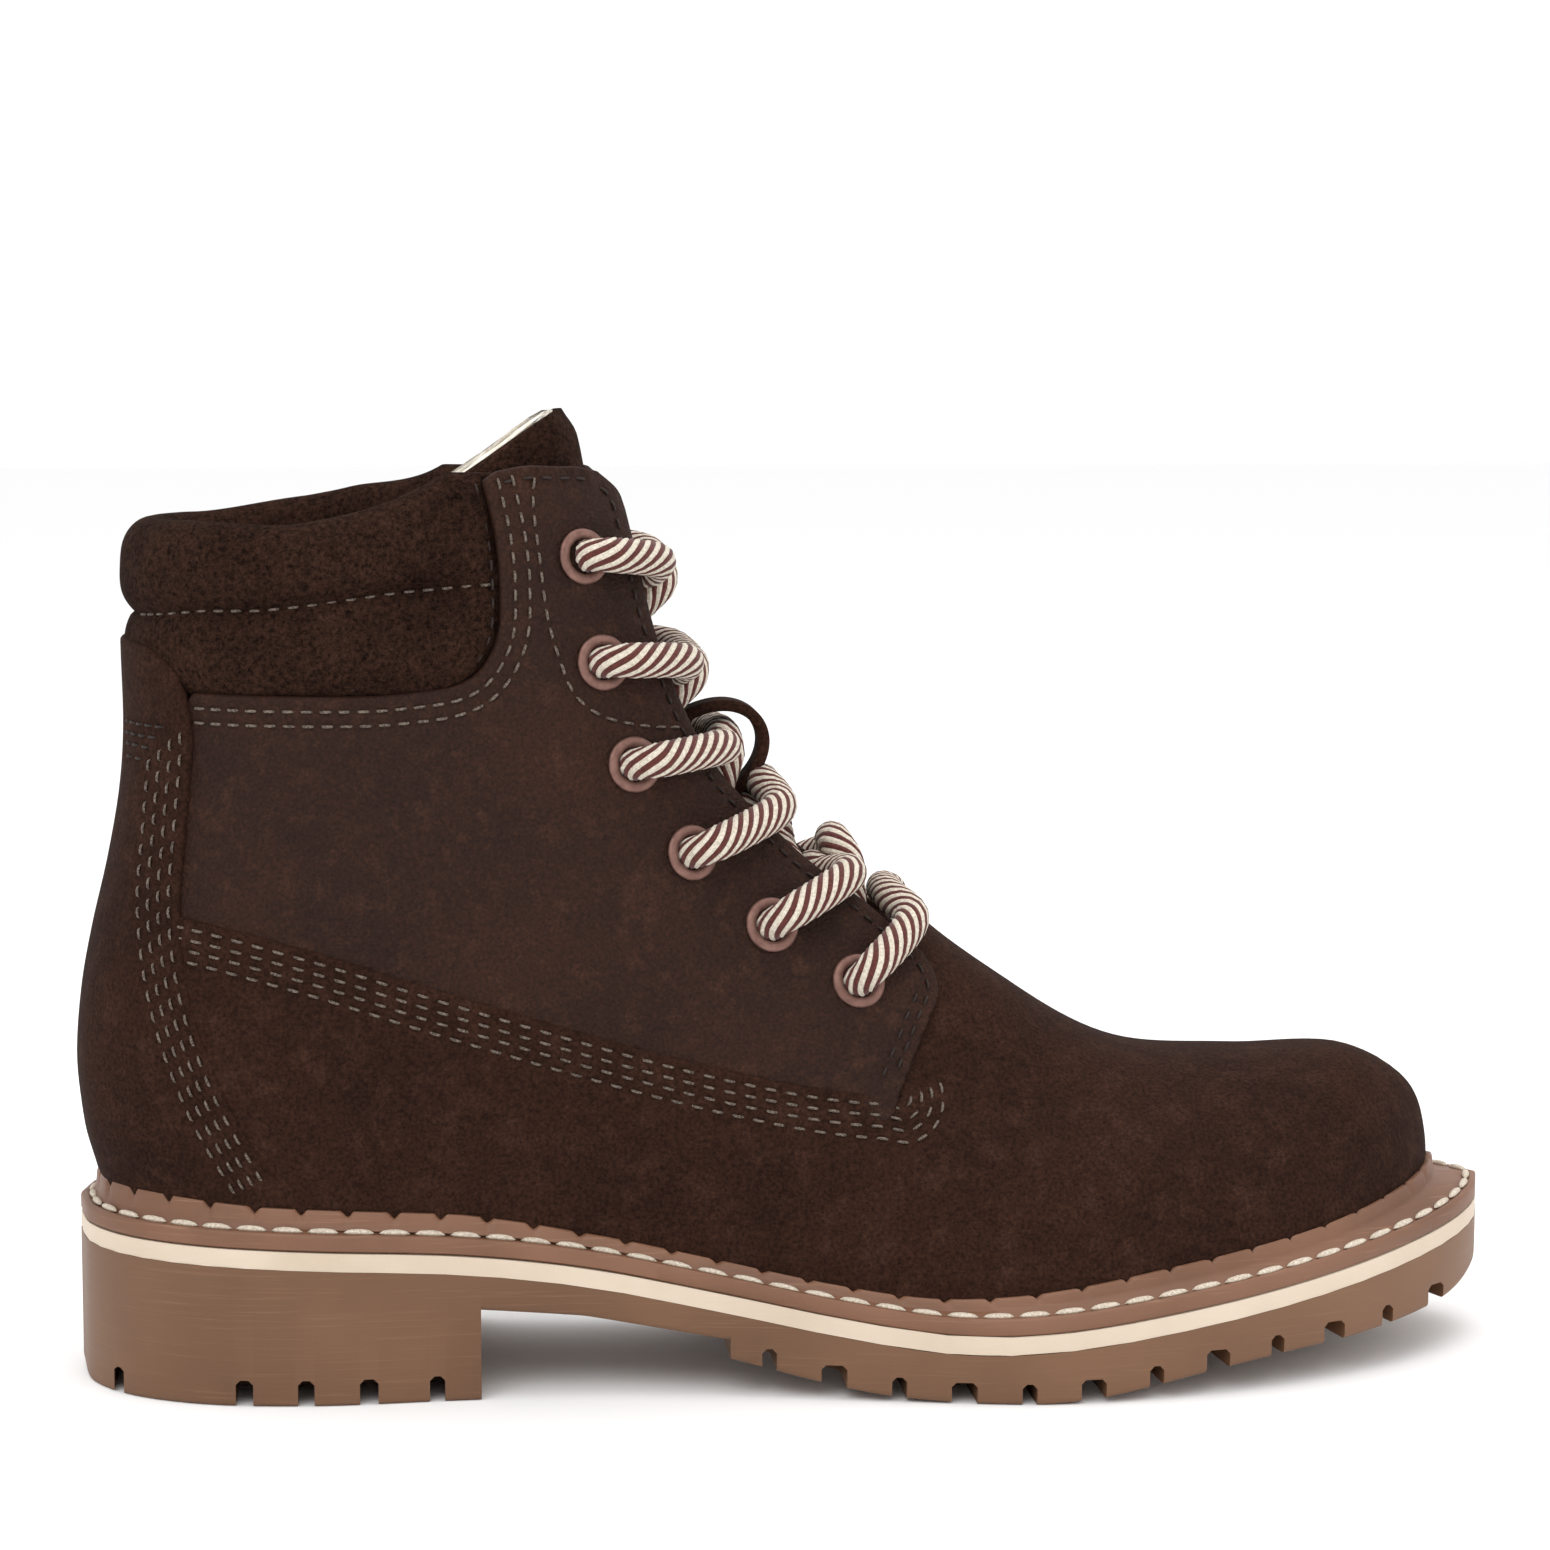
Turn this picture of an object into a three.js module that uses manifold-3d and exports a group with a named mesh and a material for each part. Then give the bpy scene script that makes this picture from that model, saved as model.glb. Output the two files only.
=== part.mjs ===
// A fleece-lined, lace-up ankle boot for the right foot, in millimetres.
// x runs from the back of the heel to the toe, y towards the inner (medial) side of the foot, z up.
// The finished group is moved so that its origin is the bottom centre of the boot's box.
import * as THREE from "three";
import { mergeVertices } from "three/addons/utils/BufferGeometryUtils.js";
import Module from "manifold-3d";

const wasm = await Module();
wasm.setup();

// ---- Driving dimensions --------------------------------------------------------------------
const soleLength = 290; // outsole, back of heel to toe tip
const bootHeight = 194; // floor to the top of the tongue
const ballWidth = 98; // outsole across the ball of the foot
const gap = 0.3; // clearance between pieces that touch on the real boot

const weltThickness = 3.6;
const midsoleThickness = 3.6;
const outsoleThickness = 10.1; // at the ball, lugs included
const lugDepth = 4;
const lugPitch = 12.5;
const lugSlot = 3.6; // gap between two lugs at the sole's edge
const lugReach = 15; // how far a slot runs in from the edge
const heelLength = 80;
const weltRim = 4.2; // height of the upright rim above the welt's ledge, at the heel
const weltRimThickness = 2.2;
const weltWidth = 16; // strip of welt, from its outer edge inwards

const leather = 1.8; // outer panels
const stiffener = 1.1; // toe puff and heel counter
const fleece = 4; // lining
const collarBulge = 1.2; // how far the padded collar stands out from the quarter
const boardThickness = 2.4;
const footbedThickness = 5;
const shankWidth = 14;
const shankThickness = 1.4;
const shankLength = 96;

const laceRadius = 3;
const laceClearance = 0.55; // between the lace and an eyelet's hole
const flangeWidth = 1.75; // of an eyelet, from its hole to its outer edge
const washerWidth = 1.15; // of the ring that its back is rolled into
const eyeletPlate = 0.8; // thickness of its flange
const eyeletWall = 0.45;
const agletLength = 13;
const agletRadius = 2.2;
const tongueThickness = 3.2;
const tonguePile = 2.4;
const keeperWidth = 7;
const keeperSlack = 2.2; // lets the tongue tilt back under the laces
const keeperThickness = 1.2;

// ---- Grading: pattern points are drawn on the base size and graded to the sizes above ---------
const base = { length: 290, height: 194, width: 98, lift: 17.3 };
const footLift = weltThickness + midsoleThickness + outsoleThickness;
const gradeX = soleLength / base.length;
const gradeY = ballWidth / base.width;
const gradeZ = (bootHeight - footLift) / (base.height - base.lift);
const grade = ([x, z]) => [x * gradeX, footLift + (z - base.lift) * gradeZ];

// ---- Small tools ---------------------------------------------------------------------------
const clamp = (value, low, high) => Math.min(high, Math.max(low, value));
const mix = (a, b, t) => a + (b - a) * t;
const smooth = (value, low, high) => {
  const t = clamp((value - low) / (high - low), 0, 1);
  return t * t * (3 - 2 * t);
};

// A smooth curve through pattern points, sampled as a polyline.
function curve(points, count) {
  const spline = new THREE.CatmullRomCurve3(points.map(([a, b]) => new THREE.Vector3(a, b, 0)),
    false, "centripetal");
  return spline.getPoints(count).map((p) => [p.x, p.y]);
}

// Piecewise-linear height of a polyline at a distance along its first coordinate.
function heightAt(line, x) {
  const rising = line[0][0] < line[line.length - 1][0];
  const ordered = rising ? line : [...line].reverse();
  if (x <= ordered[0][0]) return ordered[0][1];
  for (let i = 1; i < ordered.length; i += 1) {
    const [x0, y0] = ordered[i - 1];
    const [x1, y1] = ordered[i];
    if (x <= x1) return mix(y0, y1, (x - x0) / Math.max(x1 - x0, 1e-9));
  }
  return ordered[ordered.length - 1][1];
}

function toSolid(geometry) {
  const bare = new THREE.BufferGeometry();
  bare.setAttribute("position", geometry.getAttribute("position").clone());
  if (geometry.index) bare.setIndex(geometry.index.clone());
  const merged = mergeVertices(bare, 1e-4);
  const mesh = new wasm.Mesh({
    numProp: 3,
    vertProperties: new Float32Array(merged.getAttribute("position").array),
    triVerts: new Uint32Array(merged.index.array),
  });
  return new wasm.Manifold(mesh);
}

function toGeometry(solid) {
  const mesh = solid.getMesh();
  const geometry = new THREE.BufferGeometry();
  geometry.setAttribute("position", new THREE.BufferAttribute(new Float32Array(mesh.vertProperties), 3));
  geometry.setIndex([...mesh.triVerts]);
  geometry.computeVertexNormals();
  return geometry;
}

// A closed skin over rings of points. The rings may follow one another in a loop; otherwise the
// first and last are capped. Past the point called turned, four-sided faces split the other way.
function skin(rows, { closeRows = false, turned = Infinity } = {}) {
  const across = rows[0].length;
  const positions = rows.flat(2);
  const index = [];
  const last = closeRows ? rows.length : rows.length - 1;
  for (let i = 0; i < last; i += 1) {
    const next = (i + 1) % rows.length;
    for (let j = 0; j < across; j += 1) {
      const right = (j + 1) % across;
      const a = i * across + j;
      const b = i * across + right;
      const c = next * across + right;
      const d = next * across + j;
      if (j < turned) index.push(a, b, c, a, c, d);
      else index.push(a, b, d, b, c, d);
    }
  }
  if (!closeRows) {
    for (let j = 1; j < across - 1; j += 1) {
      index.push(0, j + 1, j);
      const end = (rows.length - 1) * across;
      index.push(end, end + j, end + j + 1);
    }
  }
  const geometry = new THREE.BufferGeometry();
  geometry.setAttribute("position", new THREE.BufferAttribute(new Float32Array(positions), 3));
  geometry.setIndex(index);
  return geometry;
}

// A prism that stands on a side-view outline, from one y to another.
function sideCutter(outline, yLow, yHigh) {
  const shape = new THREE.Shape(outline.map(([x, z]) => new THREE.Vector2(x, z)));
  const geometry = new THREE.ExtrudeGeometry(shape, { depth: yHigh - yLow, bevelEnabled: false });
  geometry.rotateX(Math.PI / 2);
  geometry.translate(0, yHigh, 0);
  return toSolid(geometry);
}

// A round cord through a list of points, with a ring square to its way at each one.
function cord(points, radius, sides) {
  const ways = points.map((_, i) => points[Math.min(i + 1, points.length - 1)].clone()
    .sub(points[Math.max(i - 1, 0)]).normalize());
  let across = new THREE.Vector3(0, 0, 1).cross(ways[0]).normalize();
  const rings = points.map((point, i) => {
    across = across.addScaledVector(ways[i], -across.dot(ways[i])).normalize();
    const other = ways[i].clone().cross(across);
    return Array.from({ length: sides }, (_, k) => {
      const angle = (k * 2 * Math.PI) / sides;
      return point.clone().addScaledVector(across, radius * Math.cos(angle))
        .addScaledVector(other, radius * Math.sin(angle)).toArray();
    });
  });
  return toSolid(skin(rings));
}

// ---- The sole's outline and heights ----------------------------------------------------------
const toeShift = 5 * gradeY; // the toe tip lies towards the inner side
const centreLine = (x) => toeShift * smooth(x / gradeX, 185, 289);

const outerWidths = [[0, 0], [3, 14], [11, 25], [26, 33.5], [48, 37], [76, 35.6], [104, 35.5], [130, 38.5],
  [160, 45], [188, 50], [210, 49.8], [232, 46.5], [252, 40], [268, 31], [279, 21.5], [286.5, 10.5], [290, 0]];
const innerWidths = [[0, 0], [3, 14], [11, 25], [26, 33], [48, 35.5], [76, 31.5], [104, 28], [130, 28],
  [160, 35.5], [188, 45], [210, 48.2], [232, 46.2], [252, 39.6], [268, 30.5], [279, 21.3], [286.5, 10.5], [290, 0]];
const gradePlan = (points) => curve(points.map(([x, y]) => [x * gradeX, y * gradeY]), 96);
const planWidths = { outer: gradePlan(outerWidths), inner: gradePlan(innerWidths) };
// Half-width of the sole from its centre line: side is -1 on the outer side, 1 on the inner side.
const soleWidth = (x, side) => heightAt(side < 0 ? planWidths.outer : planWidths.inner, x);

const topPoints = [[-1, 36], [35, 34.8], [76, 32.6], [100, 29.6], [125, 24.8], [150, 20.1], [172, 17.3],
  [191, 17.8], [222, 21.6], [257, 26.9], [291, 33]];
const topLine = curve(topPoints.map(grade), 60);
const soleTop = (x) => heightAt(topLine, x); // the welt's ledge

const treadPoints = [[126, 8.2], [145, 3.6], [158, 1.2], [169, 0.3], [181, 0], [190, 0], [202, 1.2], [223, 5],
  [240, 7.2], [258, 8.8], [280, 12.4], [291, 17.5]];
const treadLine = curve(treadPoints.map(([x, z]) => [x * gradeX, z]), 40);
const treadBottom = (x) => Math.max(heightAt(treadLine, x), 0);
const archBottom = (x) => {
  const arch = [[79, 18], [100, 16.2], [113, 13.9], [128, 11.4]];
  return heightAt(arch.map(([a, z]) => [a * gradeX, z]), x) - base.lift + footLift;
};

// Stations that crowd towards both rounded ends.
function stations(from, to, count) {
  return Array.from({ length: count + 1 }, (_, i) => mix(from, to, (1 - Math.cos((i / count) * Math.PI)) / 2));
}

// A layer with the sole's outline drawn in by an inset, between two heights.
function soleLayer(from, to, inset, low, high, count = 36) {
  const first = Math.max(from, inset + 0.4);
  const last = Math.min(to, soleLength - inset - 0.4);
  const rings = stations(first, last, count).map((x) => {
    const stretch = (x - inset) / (soleLength - 2 * inset);
    const at = clamp(stretch * soleLength, 0, soleLength);
    const left = centreLine(x) - Math.max(soleWidth(at, -1) * (1 - inset / (ballWidth / 2)), 0.6);
    const right = centreLine(x) + Math.max(soleWidth(at, 1) * (1 - inset / (ballWidth / 2)), 0.6);
    return [[x, left, low(x)], [x, right, low(x)], [x, right, high(x)], [x, left, high(x)]];
  });
  return toSolid(skin(rings));
}

// ---- The last: the outer surface of the upper ----------------------------------------------------
// Fan lines run in side view from the back of the heel (back) to the ridge over the foot (front).
// Row 0 is the feather line, where upper meets sole, and row 1 lies above the collar.
const backPoints = [[4.6, 36], [3.2, 45], [1.8, 54.4], [1.1, 64], [2.3, 78], [4.6, 90], [8, 104], [10.6, 118],
  [11.6, 130], [11.4, 146], [11.2, 162], [13, 178]].map(grade);
const frontPoints = [[279.2, 31], [278.6, 42], [274.5, 52.6], [262, 60.2], [238, 60.8], [212, 63.4],
  [190, 75.2], [172.2, 90], [154, 104.5], [131, 126], [119, 156], [105, 198]].map(grade);
const rowCount = backPoints.length - 1;
const backSpline = new THREE.CatmullRomCurve3(backPoints.map(([x, z]) => new THREE.Vector3(x, z, 0)));
const frontSpline = new THREE.CatmullRomCurve3(frontPoints.map(([x, z]) => new THREE.Vector3(x, z, 0)));
const ridgeLine = frontSpline.getPoints(rowCount * 10).map((p) => [p.x, p.y]);

const vampDip = 14 * gradeZ;
function rowHeight(u, x) {
  const back = backSpline.getPoint(u);
  const front = frontSpline.getPoint(u);
  const q = clamp((x - back.x) / (front.x - back.x), 0, 1);
  const straight = mix(back.y, front.y, q);
  const sag = (soleTop(x) - mix(backPoints[0][1], frontPoints[0][1], q)) * (1 - smooth(u, 0, 0.42));
  // Rows that end on the vamp dip first, so that they meet its ridge at an angle.
  const dip = vampDip * smooth(u, 0.05, 0.36) * (1 - smooth(u, 0.42, 0.64)) * 6.75 * q * q * (1 - q);
  return straight + sag * Math.sin(Math.PI * q) ** 0.25 - dip;
}

const ridgeHeight = (x) => {
  const [topX, topZ] = ridgeLine[ridgeLine.length - 1];
  return x < topX ? topZ + (topX - x) * 4 : heightAt(ridgeLine, x);
};

// Half-width of the upper at a side-view point on row u.
const heelRound = 38 * gradeY;
const shaftHalf = { outer: 35.5 * gradeY, inner: 34 * gradeY };
const featherInset = 0.885;
function upperWidth(u, x, z, side) {
  const back = backSpline.getPoint(u).x;
  const front = frontSpline.getPoint(u).x;
  const q = clamp((x - back) / (front - back), 0, 1);
  const fromHeel = x - back * (1 - q);
  const toe = frontPoints[0][0];
  const alongSole = clamp(fromHeel + (soleLength - toe) * smooth(fromHeel / toe, 0.84, 1), 0, soleLength);
  const foot = soleWidth(alongSole, side) * featherInset;
  const round = clamp(1 - (x - back) / heelRound, 0, 1);
  const shaft = (side < 0 ? shaftHalf.outer : shaftHalf.inner) * (1 - round ** 2.2) ** (1 / 2.2);
  const low = soleTop(x);
  const top = ridgeHeight(x);
  const drop = clamp((top - z) / (top - low), 0, 1);
  const arch = (1 - (1 - drop) ** 2.25) ** (1 / 2.25);
  return mix(foot, shaft, smooth(u, 0.18, 0.62)) * arch;
}

// A point of the surface: v runs from 0 at the heel to +-pi at the ridge, negative on the outer side.
function lastPoint(u, v) {
  const side = v < 0 ? -1 : 1;
  const q = (1 - Math.cos(v)) / 2;
  const x = mix(backSpline.getPoint(u).x, frontSpline.getPoint(u).x, q);
  const z = rowHeight(u, x);
  const ends = Math.abs(Math.sin(v)) < 1e-9;
  const width = ends ? 0 : upperWidth(u, x, z, side);
  return new THREE.Vector3(x, centreLine(x) + side * width, z);
}

function lastNormal(u, v) {
  const du = u > 0.98 ? -0.02 : 0.02;
  const along = lastPoint(clamp(u + du, 0, 1), v).sub(lastPoint(u, v)).multiplyScalar(Math.sign(du));
  const wrap = (a) => (a > Math.PI ? a - 2 * Math.PI : a);
  const around = lastPoint(u, wrap(v + 0.12)).sub(lastPoint(u, v - 0.12 < -Math.PI ? v - 0.12 + 2 * Math.PI : v - 0.12));
  return along.cross(around).normalize();
}

const offsetPoint = (u, v, offset) => lastPoint(u, v).addScaledVector(lastNormal(u, v), offset);

// The (u, v) of a side-view point on one side.
function locate([x, z], side) {
  let low = 0;
  let high = 1;
  for (let i = 0; i < 40; i += 1) {
    const middle = (low + high) / 2;
    if (rowHeight(middle, x) < z) low = middle;
    else high = middle;
  }
  const u = (low + high) / 2;
  const back = backSpline.getPoint(u).x;
  const front = frontSpline.getPoint(u).x;
  const q = clamp((x - back) / (front - back), 0, 1);
  return { u, v: side * Math.acos(1 - 2 * q) };
}

// A wall of the upper between two depths, all the way round and from the feather line up.
// A depth is an offset from the surface, or a function of the angle v that gives one.
const rowsAt = [0, 0.08, 0.17, 0.27, 0.38, 0.48, 0.56, 0.63, 0.69, 0.75, 0.81, 0.87, 0.93, 1];
const halfTurn = [16, 32, 50, 72, 96, 118, 136, 149, 159, 167, 174].map((a) => (a * Math.PI) / 180);
const columnsAt = [...[...halfTurn].reverse().map((a) => -a), 0, ...halfTurn, Math.PI];
const depthAt = (depth, v) => (typeof depth === "function" ? depth(v) : depth);
const surfaceGrid = columnsAt.map((v) => rowsAt.map((u) => lastPoint(u, v)));
const normalGrid = surfaceGrid.map((column, j) => column.map((_, i) => {
  const next = surfaceGrid[(j + 1) % columnsAt.length][i];
  const before = surfaceGrid[(j + columnsAt.length - 1) % columnsAt.length][i];
  const up = column[Math.min(i + 1, rowsAt.length - 1)].clone().sub(column[Math.max(i - 1, 0)]);
  return up.cross(next.clone().sub(before)).normalize();
}));
function wall(outer, inner) {
  const strips = columnsAt.map((v, j) => {
    const at = (depth) => (_, i) => surfaceGrid[j][i].clone()
      .addScaledVector(normalGrid[j][i], depthAt(depth, v)).toArray();
    return [...rowsAt.map(at(outer)), ...rowsAt.map(at(inner)).reverse()];
  });
  return toSolid(skin(strips, { closeRows: true, turned: rowsAt.length }));
}

// ---- Side-view pattern curves --------------------------------------------------------------------
const far = 120; // reach of a cutter beyond the boot
const wingTop = curve([[-20, 99.5], [23, 95.7], [46, 90], [76, 80.1], [114, 68.3], [134, 63], [150, 59.9],
  [162.4, 58.6]].map(grade), 24);
const facingEdge = curve([[162.4, 58.6], [168.4, 71.1], [171.6, 77.6], [170, 83.2], [158.8, 93.9], [144.6, 105.2],
  [128.7, 121.4], [122.7, 131.5], [115.2, 151.5], [111.3, 168.3], [107.2, 178.3], [104.4, 181.4]].map(grade), 36);
const collarEdge = curve([[25.2, 139.3], [40, 139], [65.2, 139.2], [78.6, 142], [83.6, 149], [84.5, 159],
  [83.7, 168.5], [81.2, 180.2]].map(grade), 20);
const collarTop = curve([[-20, 173], [22, 173], [46.5, 172.1], [65.6, 174.9], [81.2, 180.2]].map(grade), 14);
const backstayEdge = curve([[44, 30], [40, 42.6], [30.7, 60.7], [24.8, 78.3], [22.6, 96.5], [24, 113], [25.3, 133.2],
  [22.2, 143.2], [17.1, 147.6], [-20, 147.6]].map(grade), 24);
const liningFront = curve([[158, 10], [154, 48], [141, 63], [123, 78], [106, 95], [94, 116], [86, 140], [84, 160],
  [83, 178]].map(grade), 24);
const tongueEdge = curve([[150, 68], [136, 80], [119, 95], [104, 116], [95, 137], [88, 155], [83, 172], [82, 181],
  [86, 184], [97.4, 193], [100, 194], [112, 194]].map(grade), 30);

// Moves a curve sideways, to its left when the distance is positive.
function beside(line, distance) {
  return line.map(([x, z], i) => {
    const [x0, z0] = line[Math.max(i - 1, 0)];
    const [x1, z1] = line[Math.min(i + 1, line.length - 1)];
    const long = Math.hypot(x1 - x0, z1 - z0) || 1;
    return [x - (distance * (z1 - z0)) / long, z + (distance * (x1 - x0)) / long];
  });
}

// The line along the top of the sole, raised, from one x to another.
const alongSole = (from, to, rise) => Array.from({ length: 25 }, (_, i) => {
  const x = mix(from, to, i / 24);
  return [x, soleTop(x) + rise];
});
const above = (rise) => [...alongSole(-20, soleLength + 20, rise), [soleLength + 20, 400], [-20, 400]];
const throat = frontSpline.getPoint(7 / rowCount); // where the vamp ends on the ridge
const cut = (outline, from = -far, to = far) => sideCutter(outline, from, to);
const sides = { lateral: [-far, 0], medial: [0, far] };
const sign = { lateral: -1, medial: 1 };

const toeEnd = soleLength + 20;
const frontOfFacing = facingEdge.slice(0, 11);
const regions = {
  vamp: [[-20, -9], [toeEnd, -9], [toeEnd, throat.y + 9], [throat.x, throat.y + 9],
    ...beside(frontOfFacing, -gap / 2).reverse(), ...beside(wingTop, -gap / 2).reverse()],
  belowWing: [[-20, -9], [soleLength, -9], ...beside(frontOfFacing, -gap / 2).reverse().slice(4),
    ...beside(wingTop, gap / 2).reverse()],
  backstay: [[-20, -9], ...beside(backstayEdge, gap / 2)],
  notBackstay: [[-20, -9], ...beside(backstayEdge, -gap / 2)],
  quarter: [[-20, wingTop[0][1] - 60], ...facingEdge, ...beside(collarEdge, -gap / 2).reverse(),
    [-20, collarEdge[0][1] - gap / 2]],
  collar: [[-20, collarEdge[0][1]], ...beside(collarEdge, gap / 2), ...[...collarTop].reverse().slice(1)],
  shaftLining: [[-20, -9], ...liningFront, ...beside(collarTop, -2).reverse().slice(1)],
  vampLining: [[liningFront[0][0] + gap, -9], [toeEnd, -9], [toeEnd, throat.y + 9], [throat.x, throat.y + 9],
    [throat.x - 14, throat.y - 23], [liningFront[0][0] + gap, throat.y - 38]],
  tongue: [[throat.x - 15, throat.y - 22], ...tongueEdge, [throat.x + 20, tongueEdge[30][1]],
    [throat.x + 20, throat.y + 20], [throat.x - 1, throat.y + 6]],
};

// ---- Eyelet places and the laces' route ------------------------------------------------------------
const eyeletPoints = [[100.9, 164.8], [104.5, 144.3], [110.5, 124.4], [121.8, 106.8], [137.7, 92],
  [154.9, 80.5]].map(grade);
const facingAngles = [0.37, 0.42, 0.45, 0.51, 0.54, 0.53]; // from the ridge to the facing's edge
const eyeletHole = laceRadius + laceClearance; // radius
const eyeletFlange = eyeletHole + flangeWidth;
const washerRadius = eyeletHole + washerWidth;
const flangeSeat = gap;
const eyeletTop = flangeSeat + eyeletPlate;
const washerSeat = gap;
const eyeletBottom = -(leather + washerSeat + eyeletPlate);

const eyelets = { lateral: [], medial: [] };
for (const side of Object.keys(eyelets)) {
  for (const point of eyeletPoints) {
    const { u, v } = locate(point, sign[side]);
    const edge = facingAngles[eyelets[side].length];
    eyelets[side].push({ u, v, edge, place: lastPoint(u, v), out: lastNormal(u, v) });
  }
}

// ---- Upper pieces --------------------------------------------------------------------------------
const leatherWall = wall(0, -leather);
const stiffWall = wall(-leather - gap, -leather - gap - stiffener);
const liningDepth = -(leather + stiffener + 2 * gap);
const liningWall = wall(liningDepth, liningDepth - fleece);
const aboveSole = cut(above(gap));
const backstayCut = cut(regions.notBackstay);

function barrelAt(eyelet, radius, low, high, segments = 10) {
  const geometry = new THREE.CylinderGeometry(radius, radius, high - low, segments);
  geometry.translate(0, (high + low) / 2, 0);
  const turn = new THREE.Quaternion().setFromUnitVectors(new THREE.Vector3(0, 1, 0), eyelet.out);
  geometry.applyQuaternion(turn);
  geometry.translate(eyelet.place.x, eyelet.place.y, eyelet.place.z);
  return toSolid(geometry);
}

function vamp() {
  return leatherWall.intersect(cut(regions.vamp)).intersect(aboveSole).subtract(backstayCut);
}

function backstay() {
  return leatherWall.intersect(cut(regions.backstay)).intersect(aboveSole);
}

function quarter(side) {
  let panel = leatherWall.intersect(cut(regions.quarter, ...sides[side]));
  panel = panel.subtract(cut(regions.belowWing)).subtract(backstayCut);
  for (const eyelet of eyelets[side]) {
    panel = panel.subtract(barrelAt(eyelet, eyeletHole + eyeletWall + gap, -6, 6));
    panel = panel.subtract(barrelAt(eyelet, eyeletFlange + gap, 0, 6));
    panel = panel.subtract(barrelAt(eyelet, washerRadius + gap, -6, -leather));
  }
  return panel;
}

function collar() {
  const pad = wall(collarBulge, -leather - gap - stiffener);
  return pad.intersect(cut(regions.collar)).subtract(backstayCut);
}

function toePuff() {
  const start = soleLength * 0.8;
  return stiffWall.intersect(aboveSole).intersect(cut([[start, -9], [toeEnd, -9], [toeEnd, 150], [start + 12, 150]]));
}

function heelCounter() {
  const [reach, high] = grade([72, 88]);
  return stiffWall.intersect(aboveSole).intersect(cut([[-20, -9], [reach, -9], [reach - 24, high], [-20, high]]));
}

const liningFloor = cut(above(boardThickness + 2 * gap));
const shaftLining = () => liningWall.intersect(cut(regions.shaftLining)).intersect(liningFloor);
const vampLining = () => liningWall.intersect(cut(regions.vampLining)).intersect(liningFloor);

// The tongue bulges outwards between the facings and lies deeper under them.
const tongueCentre = -(leather + 5.2);
const tongueWing = tongueCentre - 3.6;
const fromRidge = (v) => Math.PI - Math.abs(v);
const tongueFace = (v) => mix(tongueCentre, tongueWing, smooth(fromRidge(v), 0, 0.4));
const tongueBack = (v) => tongueFace(v) - tongueThickness;
const pileFace = (v) => tongueBack(v) - gap;
const pileBack = (v) => pileFace(v) - tonguePile;
const tongue = () => wall(tongueFace, tongueBack).intersect(cut(regions.tongue));
const tongueLining = () => wall(pileFace, pileBack).intersect(cut(regions.tongue));

// ---- Sole pieces -----------------------------------------------------------------------------------
const seam = 0.15; // glue line between two layers of the sole
const under = (depth) => (x) => soleTop(x) - depth;
const midsoleTop = weltThickness + seam;
const outsoleTop = midsoleTop + midsoleThickness + seam;

function weltRing() {
  const strips = columnsAt.map((v) => {
    const foot = lastPoint(0, v);
    const up = lastPoint(rowsAt[1], v);
    const waist = 1 - 0.5 * Math.sin(Math.PI * clamp(foot.x / soleLength, 0, 1)) ** 2;
    const rise = (weltRim * waist) / (up.z - foot.z);
    const head = foot.clone().lerp(up, rise);
    const out = lastNormal(0, v).setZ(0).normalize();
    const near = (p, d, dz) => p.clone().addScaledVector(out, d).add(new THREE.Vector3(0, 0, dz)).toArray();
    const outer = gap + weltRimThickness;
    return [near(foot, outer, -1), near(head, outer, 0), near(head, gap, 0), near(foot, gap, -1)];
  });
  return toSolid(skin(strips, { closeRows: true }));
}

function welt() {
  const plate = soleLayer(0, soleLength, 0, under(weltThickness), soleTop);
  const well = soleLayer(0, soleLength, weltWidth, under(weltThickness + 5), under(-5));
  return plate.subtract(well).add(weltRing());
}

function shankStrip(extra) {
  const [from] = grade([60, 0]);
  const half = shankWidth / 2 + extra;
  const rings = Array.from({ length: 13 }, (_, i) => {
    const x = mix(from - extra, from + shankLength + extra, i / 12);
    const high = soleTop(x) - gap + (extra > 0 ? 2 : 0);
    const low = soleTop(x) - gap - shankThickness - extra;
    return [[x, -half, low], [x, half, low], [x, half, high], [x, -half, high]];
  });
  return toSolid(skin(rings));
}

function filler() {
  const plate = soleLayer(0, soleLength, weltWidth + gap, under(weltThickness - seam), soleTop);
  return plate.subtract(shankStrip(gap));
}

// A layer inside the upper, drawn in from its feather line.
function footLayer(inset, low, high, count = 26) {
  const back = backPoints[0][0];
  const front = frontPoints[0][0];
  const rings = stations(back + inset + 0.5, front - inset - 0.5, count).map((x) => {
    const at = mix(back, front, (x - back - inset) / (front - back - 2 * inset));
    const drawn = inset * smooth(Math.min(at - back, front - at), 0, 20);
    const left = centreLine(x) - Math.max(upperWidth(0, at, soleTop(at), -1) - drawn, 0.6);
    const right = centreLine(x) + Math.max(upperWidth(0, at, soleTop(at), 1) - drawn, 0.6);
    return [[x, left, low(x)], [x, right, low(x)], [x, right, high(x)], [x, left, high(x)]];
  });
  return toSolid(skin(rings));
}

const boardInset = leather + stiffener + 7 * gap;
const footbedInset = boardInset + fleece + 5 * gap;
const insoleBoard = () => footLayer(boardInset, under(-gap), under(-gap - boardThickness));
const footbedFloor = 2 * gap + boardThickness;
const footbed = () => footLayer(footbedInset, under(-footbedFloor), under(-footbedFloor - footbedThickness));

const midsole = () => soleLayer(0, soleLength, 0, under(midsoleTop + midsoleThickness), under(midsoleTop));

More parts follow.
